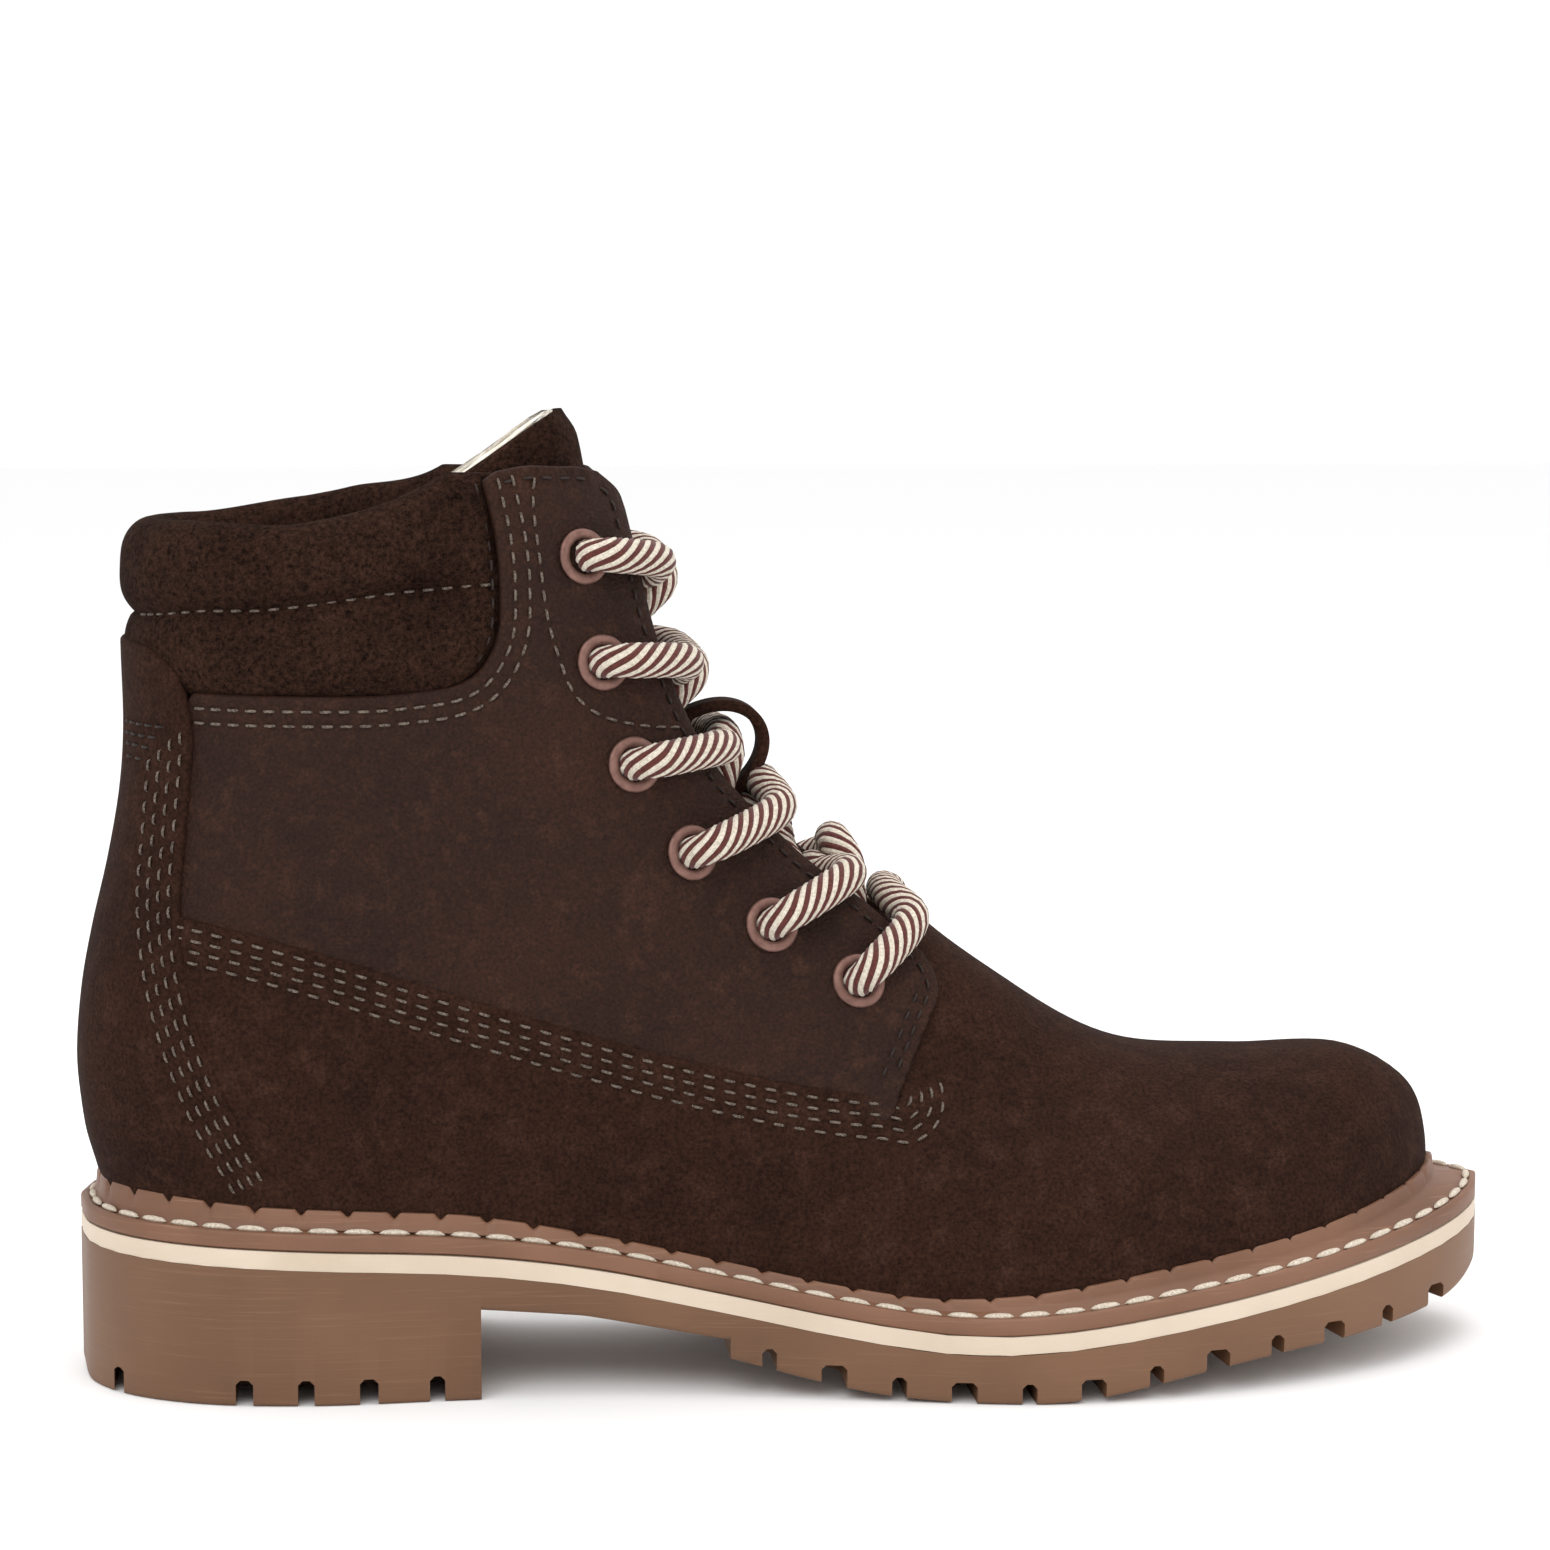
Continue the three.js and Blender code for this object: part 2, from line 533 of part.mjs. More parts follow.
function lugSlots() {
  const slots = [];
  const run = soleLength - 10;
  for (let x = 136 * gradeX, i = 0; x < run; x += lugPitch, i += 1) {
    for (const side of [-1, 1]) {
      const edge = centreLine(x) + side * soleWidth(x, side);
      const wide = i % 2 ? lugSlot * 1.4 : lugSlot * 0.8;
      const slot = new THREE.BoxGeometry(wide, 2 * lugReach, lugDepth * 2);
      slot.rotateZ(-side * 0.25 * smooth(x, soleLength * 0.6, soleLength));
      slot.translate(x, edge, treadBottom(x));
      slots.push(toSolid(slot));
    }
  }
  return slots;
}

function outsole() {
  const plateBottom = (x) => {
    if (x < heelLength) return soleTop(x) - outsoleTop - 8;
    return x < 130 * gradeX ? archBottom(x) : treadBottom(x) + lugDepth;
  };
  let body = soleLayer(0, soleLength, 0, plateBottom, under(outsoleTop), 44);
  const heel = soleLayer(3, heelLength, 0, () => 0, under(outsoleTop + 4), 18);
  const lugs = soleLayer(127 * gradeX, soleLength, 0, treadBottom, (x) => treadBottom(x) + lugDepth + 0.5, 26);
  let tread = lugs;
  for (const slot of lugSlots()) tread = tread.subtract(slot);
  body = body.add(heel).add(tread);
  return body;
}

// ---- Eyelets, laces and the lace keeper ------------------------------------------------------------
function eyelet(spot) {
  const barrel = eyeletHole + eyeletWall;
  const profile = [[eyeletHole, eyeletBottom], [washerRadius, eyeletBottom], [washerRadius, -leather - washerSeat],
    [barrel, -leather - washerSeat], [barrel, flangeSeat], [eyeletFlange, flangeSeat], [eyeletFlange - 0.9, eyeletTop],
    [eyeletHole, eyeletTop], [eyeletHole, eyeletBottom]];
  const geometry = new THREE.LatheGeometry(profile.map(([r, h]) => new THREE.Vector2(r, h)), 10);
  const turn = new THREE.Quaternion().setFromUnitVectors(new THREE.Vector3(0, 1, 0), spot.out);
  geometry.applyQuaternion(turn);
  geometry.translate(spot.place.x, spot.place.y, spot.place.z);
  return toSolid(geometry);
}

// Where each pair's row crosses the ridge.
const ridgeRows = [[115.5, 168], [121, 150], [127.5, 133], [136, 121.5], [150.5, 108], [163.8, 96.2]]
  .map((point) => locate(grade(point), 1).u);

// Points of a lace that turns about an eyelet's rim: outside (1) or inside (-1), towards a target.
const bend = laceRadius + 0.35;
function rimTurn(spot, target, face) {
  const towards = target.clone().sub(spot.place);
  towards.addScaledVector(spot.out, -towards.dot(spot.out)).normalize();
  const level = face > 0 ? eyeletTop : eyeletBottom;
  return [0, 45, 90].map((degrees) => {
    const angle = (degrees * Math.PI) / 180;
    return spot.place.clone()
      .addScaledVector(towards, eyeletHole - bend * Math.cos(angle) + (bend - eyeletHole))
      .addScaledVector(spot.out, level + face * bend * Math.sin(angle));
  });
}

// A leg runs from inside one eyelet, under its facing, over the tongue and into the next eyelet
// on the other side from outside. A point is [share of the angle to the facing's edge, depth].
const beneath = -(leather + gap + laceRadius); // under a facing
const clear = laceRadius + 0.1; // over one lace
const overLeg = [[1.08, beneath - 1.5], [0.8, beneath - 0.5], [0.55, beneath + 3.5], [0.36, clear - 1.3],
  [0.15, clear], [-0.2, clear + 0.1], [-1.1, clear + 1.5]];
const underLeg = [[1.08, beneath - 1.5], [0.6, beneath + 0.1], [0.2, beneath + 1.6], [-0.2, beneath + 1.9],
  [-0.42, beneath + 2.9], [-0.68, clear - 1.3], [-1.1, clear + 1.5]];
function leg(start, finish, ridgeU, route) {
  const side = Math.sign(start.v);
  const middle = route.map(([share, depth]) => {
    const end = share > 0 ? start : finish;
    const angle = Math.abs(share) * end.edge;
    const v = (share > 0 ? side : -side) * (Math.PI - angle);
    return offsetPoint(mix(ridgeU, end.u, angle / fromRidge(end.v)), v, depth);
  });
  return [...rimTurn(start, middle[0], -1), ...middle, ...rimTurn(finish, middle[middle.length - 1], 1).reverse()];
}

function laceRun(firstSide) {
  const other = firstSide === "lateral" ? "medial" : "lateral";
  const points = [];
  for (let i = 5; i > 0; i -= 1) {
    const from = i % 2 ? firstSide : other;
    const to = i % 2 ? other : firstSide;
    const over = (i % 2 === 1) === (firstSide === "lateral");
    const ridgeU = (ridgeRows[i] + ridgeRows[i - 1]) / 2;
    points.push(...leg(eyelets[from][i], eyelets[to][i - 1], ridgeU, over ? overLeg : underLeg));
  }
  return points;
}

function laceRoute() {
  const low = { lateral: eyelets.lateral[5], medial: eyelets.medial[5] };
  const bar = [0.5, 0.2, -0.2, -0.5].map((angle) => {
    const v = Math.sign(-angle) * (Math.PI - Math.abs(angle));
    const u = mix(ridgeRows[5], low.lateral.u, Math.abs(angle) / fromRidge(low.lateral.v));
    return offsetPoint(u, v, Math.abs(angle) > 0.3 ? 4.1 : 0.8);
  });
  const barLateral = rimTurn(low.lateral, bar[0], 1);
  const barMedial = rimTurn(low.medial, bar[3], 1).reverse();
  const first = laceRun("lateral").reverse();
  return [...first, ...barLateral, ...bar, ...barMedial, ...laceRun("medial")];
}

// Each lace end is tucked down between tongue and quarter, behind the eyelets.
const tuckPoints = [[93.5, 158.5], [92.5, 150], [94, 139], [98.5, 126], [104, 115.5], [111, 106], [119, 97.5],
  [127, 90], [134.5, 83.6]].map(grade);
const tuckDepth = -6.2;
function tuckRoute(side) {
  const points = tuckPoints.map((point) => {
    const { u, v } = locate(point, sign[side]);
    return offsetPoint(u, v, tuckDepth);
  });
  return [...rimTurn(eyelets[side][0], points[0], -1), ...points];
}

const endGap = (points) => {
  const first = points[0].clone().add(points[1].clone().sub(points[0]).setLength(gap));
  return [first, ...points.slice(1)];
};
const aglet = (side) => {
  const points = tuckRoute(side);
  const tip = points[points.length - 1];
  const way = tip.clone().sub(points[points.length - 2]).normalize();
  const from = tip.clone().addScaledVector(way, gap);
  return cord([from, from.clone().addScaledVector(way, agletLength)], agletRadius, 8);
};

function laceKeeper() {
  const u = (ridgeRows[2] + ridgeRows[3]) / 2;
  const out = lastNormal(u, Math.PI);
  const along = new THREE.Vector3(-out.z, 0, out.x);
  const centre = lastPoint(u, Math.PI).addScaledVector(along, -4 * gap);
  const foot = tongueCentre + 8.5 * gap * Math.max(gradeX, gradeZ) ** 2;
  const high = laceRadius + 3.1 + gap + keeperSlack;
  const arch = (half, top) => Array.from({ length: 13 }, (_, i) => {
    const angle = (i * Math.PI) / 12;
    return [half * Math.cos(angle), foot + (top - foot) * Math.sin(angle) ** 0.7];
  });
  const inner = (laceRadius + leather + 3.5) * Math.max(gradeX, gradeZ) ** 0.8;
  const line = [...arch(inner + keeperThickness, high + keeperThickness), ...arch(inner, high).reverse()];
  const shape = new THREE.Shape(line.map(([a, b]) => new THREE.Vector2(a, b)));
  const geometry = new THREE.ExtrudeGeometry(shape, { depth: keeperWidth, bevelEnabled: false });
  geometry.translate(0, 0, -keeperWidth / 2);
  const basis = new THREE.Matrix4().makeBasis(along, out, along.clone().cross(out));
  geometry.applyMatrix4(basis);
  geometry.translate(centre.x, centre.y, centre.z);
  return toSolid(geometry);
}

// ---- Assembly --------------------------------------------------------------------------------------
const looks = {
  nubuck: new THREE.MeshStandardMaterial({ color: 0x3b2519, roughness: 0.85, metalness: 0 }),
  grain: new THREE.MeshStandardMaterial({ color: 0x4a2c1c, roughness: 0.55, metalness: 0 }),
  suede: new THREE.MeshStandardMaterial({ color: 0x4b3022, roughness: 0.95, metalness: 0 }),
  fleece: new THREE.MeshStandardMaterial({ color: 0xe4d6bd, roughness: 1, metalness: 0 }),
  board: new THREE.MeshStandardMaterial({ color: 0xb79a73, roughness: 0.9, metalness: 0 }),
  steel: new THREE.MeshStandardMaterial({ color: 0x8d8f92, roughness: 0.4, metalness: 1 }),
  gum: new THREE.MeshStandardMaterial({ color: 0x6b4228, roughness: 0.6, metalness: 0 }),
  cream: new THREE.MeshStandardMaterial({ color: 0xe9dcc3, roughness: 0.6, metalness: 0 }),
  copper: new THREE.MeshStandardMaterial({ color: 0x6d4630, roughness: 0.35, metalness: 1 }),
  lace: new THREE.MeshStandardMaterial({ color: 0xb79c86, roughness: 0.9, metalness: 0 }),
};
const boot = new THREE.Group();

function place(name, solid, look) {
  const mesh = new THREE.Mesh(toGeometry(solid), looks[look].clone());
  mesh.name = name;
  boot.add(mesh);
}

place("outsole", outsole(), "gum");
place("midsole", midsole(), "cream");
place("welt", welt(), "gum");
place("bottom_filler", filler(), "board");
place("shank", shankStrip(0), "steel");
place("insole_board", insoleBoard(), "board");
place("footbed", footbed(), "fleece");
place("vamp", vamp(), "nubuck");
place("backstay", backstay(), "nubuck");
place("toe_puff", toePuff(), "board");
place("heel_counter", heelCounter(), "board");
place("collar", collar(), "suede");
place("shaft_lining", shaftLining(), "fleece");
place("vamp_lining", vampLining(), "fleece");
place("tongue", tongue(), "suede");
place("tongue_lining", tongueLining(), "fleece");
place("lace_keeper", laceKeeper(), "nubuck");
place("lace", cord(laceRoute(), laceRadius, 8), "lace");
for (const side of ["lateral", "medial"]) {
  place(`quarter_${side}`, quarter(side), "grain");
  eyelets[side].forEach((spot, i) => place(`eyelet_${side}_${i + 1}`, eyelet(spot), "copper"));
  place(`lace_end_${side}`, cord(endGap(tuckRoute(side)), laceRadius, 8), "lace");
  place(`aglet_${side}`, aglet(side), "copper");
}

// The origin is the bottom centre of the boot.
const box = new THREE.Box3().setFromObject(boot);
boot.position.set(-(box.min.x + box.max.x) / 2, -(box.min.y + box.max.y) / 2, -box.min.z);

export default boot;
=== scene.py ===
"""Looks of the insulated hunting boot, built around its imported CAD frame.

Lengths are in millimetres in the pattern's own frame, with x from the back of the heel to the toe,
y towards the inner side and z up, until a mesh is made."""
import math

import bpy
import numpy as np
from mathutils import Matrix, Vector, kdtree
from mathutils.geometry import delaunay_2d_cdt


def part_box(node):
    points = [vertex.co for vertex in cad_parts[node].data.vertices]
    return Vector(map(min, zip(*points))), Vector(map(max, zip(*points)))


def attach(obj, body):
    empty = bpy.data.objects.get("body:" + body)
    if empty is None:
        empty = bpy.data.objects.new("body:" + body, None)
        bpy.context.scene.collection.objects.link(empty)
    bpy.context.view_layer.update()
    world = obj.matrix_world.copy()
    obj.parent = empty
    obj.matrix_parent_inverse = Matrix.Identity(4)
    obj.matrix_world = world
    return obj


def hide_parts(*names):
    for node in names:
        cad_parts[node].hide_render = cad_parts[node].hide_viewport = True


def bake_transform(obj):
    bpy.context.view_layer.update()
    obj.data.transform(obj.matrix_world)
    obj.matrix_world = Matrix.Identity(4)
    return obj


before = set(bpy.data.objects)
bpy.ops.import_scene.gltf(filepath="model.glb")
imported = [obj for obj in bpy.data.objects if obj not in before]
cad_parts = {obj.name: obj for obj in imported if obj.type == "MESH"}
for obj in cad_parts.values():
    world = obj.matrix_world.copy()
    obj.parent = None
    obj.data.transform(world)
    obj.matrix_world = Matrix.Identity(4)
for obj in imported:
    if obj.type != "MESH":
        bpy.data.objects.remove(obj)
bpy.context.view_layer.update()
ORIGIN = np.array([-0.145, 0.00049, 0.0])  # where the pattern frame starts in the part's frame, in metres
rng = np.random.default_rng(7)

# ---- Camera and light ----
VIEW_TURN = math.radians(5.7)
VIEW_PITCH = math.radians(6.33)
VIEW_DISTANCE = 0.777
VIEW_HEIGHT = 0.205
AIM_X = -0.004


def make_camera():
    data = bpy.data.cameras.new("camera")
    data.sensor_width = 36
    data.lens = 89.3
    data.clip_start = 0.01
    data.clip_end = 50
    camera = bpy.data.objects.new("camera", data)
    bpy.context.collection.objects.link(camera)
    ahead = Vector((math.sin(VIEW_TURN), math.cos(VIEW_TURN), 0))
    camera.location = Vector((AIM_X, ORIGIN[1], 0)) - ahead * VIEW_DISTANCE + Vector((0, 0, VIEW_HEIGHT))
    look = ahead * math.cos(VIEW_PITCH) - Vector((0, 0, math.sin(VIEW_PITCH)))
    camera.rotation_euler = look.to_track_quat("-Z", "Y").to_euler()
    bpy.context.scene.camera = camera


def softbox(name, place, aim, size, power):
    data = bpy.data.lights.new(name, "AREA")
    data.shape = "RECTANGLE"
    data.size, data.size_y = size
    data.energy = power
    light = bpy.data.objects.new(name, data)
    bpy.context.collection.objects.link(light)
    light.location = place
    light.rotation_euler = (Vector(aim) - Vector(place)).to_track_quat("-Z", "Y").to_euler()


def make_studio():
    world = bpy.data.worlds.new("studio")
    bpy.context.scene.world = world
    world.use_nodes = True
    background = world.node_tree.nodes["Background"]
    background.inputs["Color"].default_value = (1, 1, 1, 1)
    background.inputs["Strength"].default_value = 1.03
    softbox("key", (-0.5, -1.2, 1.3), (0, 0, 0.08), (1.2, 0.9), 9)
    softbox("top", (0.1, 0.1, 1.5), (0, 0, 0.05), (1.6, 1.2), 9)
    softbox("front", (1.2, -0.8, 0.7), (0, 0, 0.08), (0.8, 0.8), 2)
    bpy.context.scene.view_settings.view_transform = "Standard"


make_camera()
make_studio()

# ---- Materials ----


def srgb(red, green, blue):
    """Linear colour of an 8-bit sRGB one."""
    def channel(value):
        value /= 255
        return value / 12.92 if value <= 0.04045 else ((value + 0.055) / 1.055) ** 2.4
    return (channel(red), channel(green), channel(blue), 1)


class Look:
    """A material in the making: short calls that add and join its nodes."""

    def __init__(self, name, roughness, metallic=0.0, sheen=0.0, specular=0.5):
        self.material = bpy.data.materials.new(name)
        self.material.use_nodes = True
        self.nodes = self.material.node_tree.nodes
        self.links = self.material.node_tree.links
        self.shader = self.nodes["Principled BSDF"]
        self.shader.inputs["Roughness"].default_value = roughness
        self.shader.inputs["Metallic"].default_value = metallic
        self.shader.inputs["Sheen Weight"].default_value = sheen
        self.shader.inputs["Sheen Roughness"].default_value = 0.5
        self.shader.inputs["Specular IOR Level"].default_value = specular
        self.place = self.nodes.new("ShaderNodeTexCoord").outputs["Object"]
        self.height = None

    def stretched(self, scale):
        mapping = self.nodes.new("ShaderNodeMapping")
        mapping.inputs["Scale"].default_value = scale
        self.links.new(self.place, mapping.inputs["Vector"])
        return mapping.outputs["Vector"]

    def noise(self, scale, detail=3.0, stretch=None, rough=0.5):
        node = self.nodes.new("ShaderNodeTexNoise")
        node.inputs["Scale"].default_value = scale
        node.inputs["Detail"].default_value = detail
        node.inputs["Roughness"].default_value = rough
        self.links.new(self.stretched(stretch) if stretch else self.place, node.inputs["Vector"])
        return node.outputs["Fac"]

    def cells(self, scale):
        node = self.nodes.new("ShaderNodeTexVoronoi")
        node.feature = "DISTANCE_TO_EDGE"
        node.inputs["Scale"].default_value = scale
        self.links.new(self.place, node.inputs["Vector"])
        return node.outputs["Distance"]

    def ramp(self, value, low, high, colours):
        node = self.nodes.new("ShaderNodeValToRGB")
        node.color_ramp.elements[0].position = low
        node.color_ramp.elements[1].position = high
        node.color_ramp.elements[0].color = colours[0]
        node.color_ramp.elements[1].color = colours[1]
        self.links.new(value, node.inputs["Fac"])
        return node.outputs["Color"]

    def grey(self, value, low, high):
        return self.ramp(value, low, high, ((0, 0, 0, 1), (1, 1, 1, 1)))

    def blend(self, share, one, two, mode="MIX"):
        node = self.nodes.new("ShaderNodeMix")
        node.data_type = "RGBA"
        node.blend_type = mode
        for socket, value in ((node.inputs[0], share), (node.inputs[6], one), (node.inputs[7], two)):
            if hasattr(value, "is_linked"):
                self.links.new(value, socket)
            else:
                socket.default_value = value
        return node.outputs[2]

    def colour(self, value):
        self.links.new(value, self.shader.inputs["Base Color"])

    def rough(self, value, low, high):
        node = self.nodes.new("ShaderNodeMapRange")
        node.inputs["To Min"].default_value = low
        node.inputs["To Max"].default_value = high
        self.links.new(value, node.inputs["Value"])
        self.links.new(node.outputs["Result"], self.shader.inputs["Roughness"])

    def bump(self, value, depth, strength=1.0):
        """Adds a layer of relief, depth in metres."""
        node = self.nodes.new("ShaderNodeBump")
        node.inputs["Distance"].default_value = depth
        node.inputs["Strength"].default_value = strength
        self.links.new(value, node.inputs["Height"])
        if self.height is not None:
            self.links.new(self.height, node.inputs["Normal"])
        self.height = node.outputs["Normal"]
        self.links.new(self.height, self.shader.inputs["Normal"])


def nubuck():
    look = Look("nubuck", 0.9, specular=0.05)
    clouds = look.noise(30, 6, rough=0.66)
    nap = look.noise(1300, 4, rough=0.75)
    patches = look.noise(170, 5, rough=0.7)
    base = look.ramp(clouds, 0.34, 0.68, (srgb(45, 28, 22), srgb(56, 36, 28)))
    worn = look.blend(look.grey(patches, 0.48, 0.8), base, srgb(68, 46, 37))
    flecks = look.ramp(nap, 0.34, 0.66, (srgb(64, 60, 58), srgb(204, 200, 196)))
    look.colour(look.blend(0.7, worn, flecks, "OVERLAY"))
    look.rough(clouds, 0.78, 0.94)
    look.bump(look.noise(120, 4), 0.0007, 0.4)
    look.bump(look.noise(420, 3), 0.0003, 0.5)
    look.bump(nap, 0.0003, 0.8)
    return look.material


def grain_leather():
    look = Look("grain_leather", 0.66, specular=0.14)
    clouds = look.noise(30, 5, rough=0.62)
    patches = look.noise(210, 5, rough=0.7)
    base = look.ramp(clouds, 0.32, 0.7, (srgb(36, 19, 12), srgb(50, 28, 19)))
    # Crease lines between the pebbles: they give the relief, and they also darken the colour as painted
    # shade.
    creases = look.grey(look.cells(780), 0.0, 0.3)
    fine = look.noise(1500, 4, rough=0.7)
    worn = look.blend(look.grey(patches, 0.52, 0.78), base, srgb(62, 38, 27))
    # The crease network is multiplied into the colour: painted shade in the grain's creases.
    shade = look.blend(0.12, worn, creases, "MULTIPLY")
    look.colour(look.blend(0.5, shade, look.grey(fine, 0.3, 0.7), "OVERLAY"))
    look.rough(clouds, 0.58, 0.76)
    look.bump(look.noise(75, 3), 0.0012, 0.4)
    look.bump(creases, 0.00022, 0.5)
    look.bump(look.noise(520, 4, rough=0.65), 0.0005, 0.7)
    look.bump(fine, 0.00015, 0.6)
    return look.material


def suede():
    look = Look("suede", 0.97, specular=0.04)
    clouds = look.noise(60, 6, rough=0.7)
    nap = look.noise(1000, 5, rough=0.85)
    base = look.ramp(clouds, 0.32, 0.68, (srgb(44, 29, 23), srgb(66, 47, 38)))
    flecks = look.ramp(nap, 0.36, 0.64, (srgb(34, 30, 28), srgb(228, 220, 214)))
    look.colour(look.blend(0.9, base, flecks, "OVERLAY"))
    look.bump(look.noise(260, 5, rough=0.7), 0.0012, 0.7)
    look.bump(nap, 0.0009, 1.0)
    return look.material


def rubber(name, shades, streak, clouds, stretch, band, relief, rough=(0.42, 0.62)):
    """Moulded rubber with fine streaks along it: band is where their noise turns to the streak's shade."""
    look = Look(name, 0.5, specular=0.4)
    streaks = look.noise(1, 4, stretch=stretch, rough=0.65)
    base = look.ramp(look.noise(*clouds), 0.3, 0.7, shades)
    look.colour(look.blend(look.grey(streaks, *band), base, streak))
    look.rough(streaks, *rough)
    look.bump(streaks, *relief)
    return look.material


def gum_rubber():
    return rubber("gum_rubber", (srgb(96, 66, 44), srgb(116, 82, 57)), srgb(124, 90, 65), (24, 3),
                  (45, 45, 2600), (0.55, 0.78), (0.00015, 0.35))


def welt_rubber():
    return rubber("welt_rubber", (srgb(104, 70, 50), srgb(126, 88, 66)), srgb(146, 110, 86), (30, 3),
                  (50, 50, 2200), (0.58, 0.8), (0.00012, 0.3), rough=(0.42, 0.6))


def cream_rubber():
    look = Look("cream_rubber", 0.55, specular=0.4)
    streaks = look.noise(1, 4, stretch=(50, 50, 2000), rough=0.6)
    base = look.ramp(look.noise(35, 4), 0.3, 0.7, (srgb(196, 178, 157), srgb(210, 194, 175)))
    look.colour(look.blend(look.grey(streaks, 0.7, 0.86), base, srgb(190, 160, 136)))
    look.bump(streaks, 0.0001, 0.3)
    return look.material


def pile():
    look = Look("fleece", 0.95, sheen=0.5, specular=0.1)
    curls = look.noise(420, 5, rough=0.7)
    look.colour(look.ramp(curls, 0.3, 0.68, (srgb(205, 192, 170), srgb(248, 243, 232))))
    look.bump(look.noise(240, 3), 0.0012, 0.7)
    look.bump(curls, 0.0008, 0.8)
    return look.material


def speckled(name, shades, scale, detail, band, relief, roughness, sheen=0.0, specular=0.5, grain=0.5):
    """One fine noise gives both the colour and the relief."""
    look = Look(name, roughness, sheen=sheen, specular=specular)
    specks = look.noise(scale, detail, rough=grain)
    look.colour(look.ramp(specks, *band, shades))
    look.bump(specks, *relief)
    return look.material


def thread(name, *shades):
    return speckled(name, shades, 2600, 2, (0.35, 0.65), (0.0001, 0.5), 0.65, specular=0.3)


def woven(name, *shades):
    return speckled(name, shades, 1900, 3, (0.3, 0.68), (0.00025, 0.6), 0.8, 0.15, 0.25, grain=0.65)


def board():
    shades = (srgb(150, 122, 88), srgb(186, 158, 120))
    return speckled("fibre_board", shades, 700, 5, (0.3, 0.7), (0.0003, 0.5), 0.9, specular=0.2, grain=0.7)


def metal(name, dark, light, roughness):
    look = Look(name, roughness, metallic=0.7)
    worn = look.noise(500, 5, rough=0.6)
    look.colour(look.ramp(worn, 0.3, 0.7, (dark, light)))
    look.rough(worn, roughness - 0.08, roughness + 0.1)
    look.bump(worn, 0.00004, 0.4)
    return look.material


LOOKS = {
    "nubuck": nubuck(),
    "grain": grain_leather(),
    "suede": suede(),
    "gum": gum_rubber(),
    "welt": welt_rubber(),
    "cream": cream_rubber(),
    "pile": pile(),
    "board": board(),
    "thread": thread("thread", srgb(54, 45, 39), srgb(116, 103, 92)),
    "dark_thread": thread("dark_thread", srgb(24, 15, 12), srgb(48, 35, 29)),
    "welt_thread": thread("welt_thread", srgb(176, 162, 144), srgb(214, 203, 187)),
    "cream_yarn": woven("cream_yarn", srgb(176, 164, 146), srgb(222, 213, 198)),
    "red_yarn": woven("red_yarn", srgb(60, 24, 20), srgb(98, 47, 41)),
    "copper": metal("antique_copper", srgb(104, 74, 66), srgb(138, 104, 94), 0.5),
    "steel": metal("steel", srgb(120, 122, 126), srgb(160, 162, 166), 0.35),
    "tip": thread("aglet_film", srgb(58, 34, 26), srgb(84, 54, 44)),
}

# ---- The last: the same surface as the CAD model ----
OUTER_WIDTHS = [
    (0, 0), (3, 14), (11, 25), (26, 33.5), (48, 37), (76, 35.6), (104, 35.5), (130, 38.5), (160, 45),
    (188, 50), (210, 49.8), (232, 46.5), (252, 40), (268, 31), (279, 21.5), (286.5, 10.5), (290, 0)
]
INNER_WIDTHS = [
    (0, 0), (3, 14), (11, 25), (26, 33), (48, 35.5), (76, 31.5), (104, 28), (130, 28), (160, 35.5),
    (188, 45), (210, 48.2), (232, 46.2), (252, 39.6), (268, 30.5), (279, 21.3), (286.5, 10.5), (290, 0)
]
TOP_POINTS = [
    (-1, 36), (35, 34.8), (76, 32.6), (100, 29.6), (125, 24.8), (150, 20.1), (172, 17.3), (191, 17.8),
    (222, 21.6), (257, 26.9), (291, 33)
]
TREAD_POINTS = [
    (126, 8.2), (145, 3.6), (158, 1.2), (169, 0.3), (181, 0), (190, 0), (202, 1.2), (223, 5),
    (240, 7.2), (258, 8.8), (280, 12.4), (291, 17.5)
]
ARCH_POINTS = [(79, 18), (100, 16.2), (113, 13.9), (128, 11.4)]
BACK_POINTS = [
    (4.6, 36), (3.2, 45), (1.8, 54.4), (1.1, 64), (2.3, 78), (4.6, 90), (8, 104), (10.6, 118),
    (11.6, 130), (11.4, 146), (11.2, 162), (13, 178)
]
FRONT_POINTS = [
    (279.2, 31), (278.6, 42), (274.5, 52.6), (262, 60.2), (238, 60.8), (212, 63.4), (190, 75.2),
    (172.2, 90), (154, 104.5), (131, 126), (119, 156), (105, 198)
]
SOLE_LENGTH = 290
TOE_X = FRONT_POINTS[0][0]


def mix(a, b, t):
    return a + (b - a) * t


def smooth(value, low, high):
    t = np.clip((np.asarray(value, float) - low) / (high - low), 0, 1)
    return t * t * (3 - 2 * t)


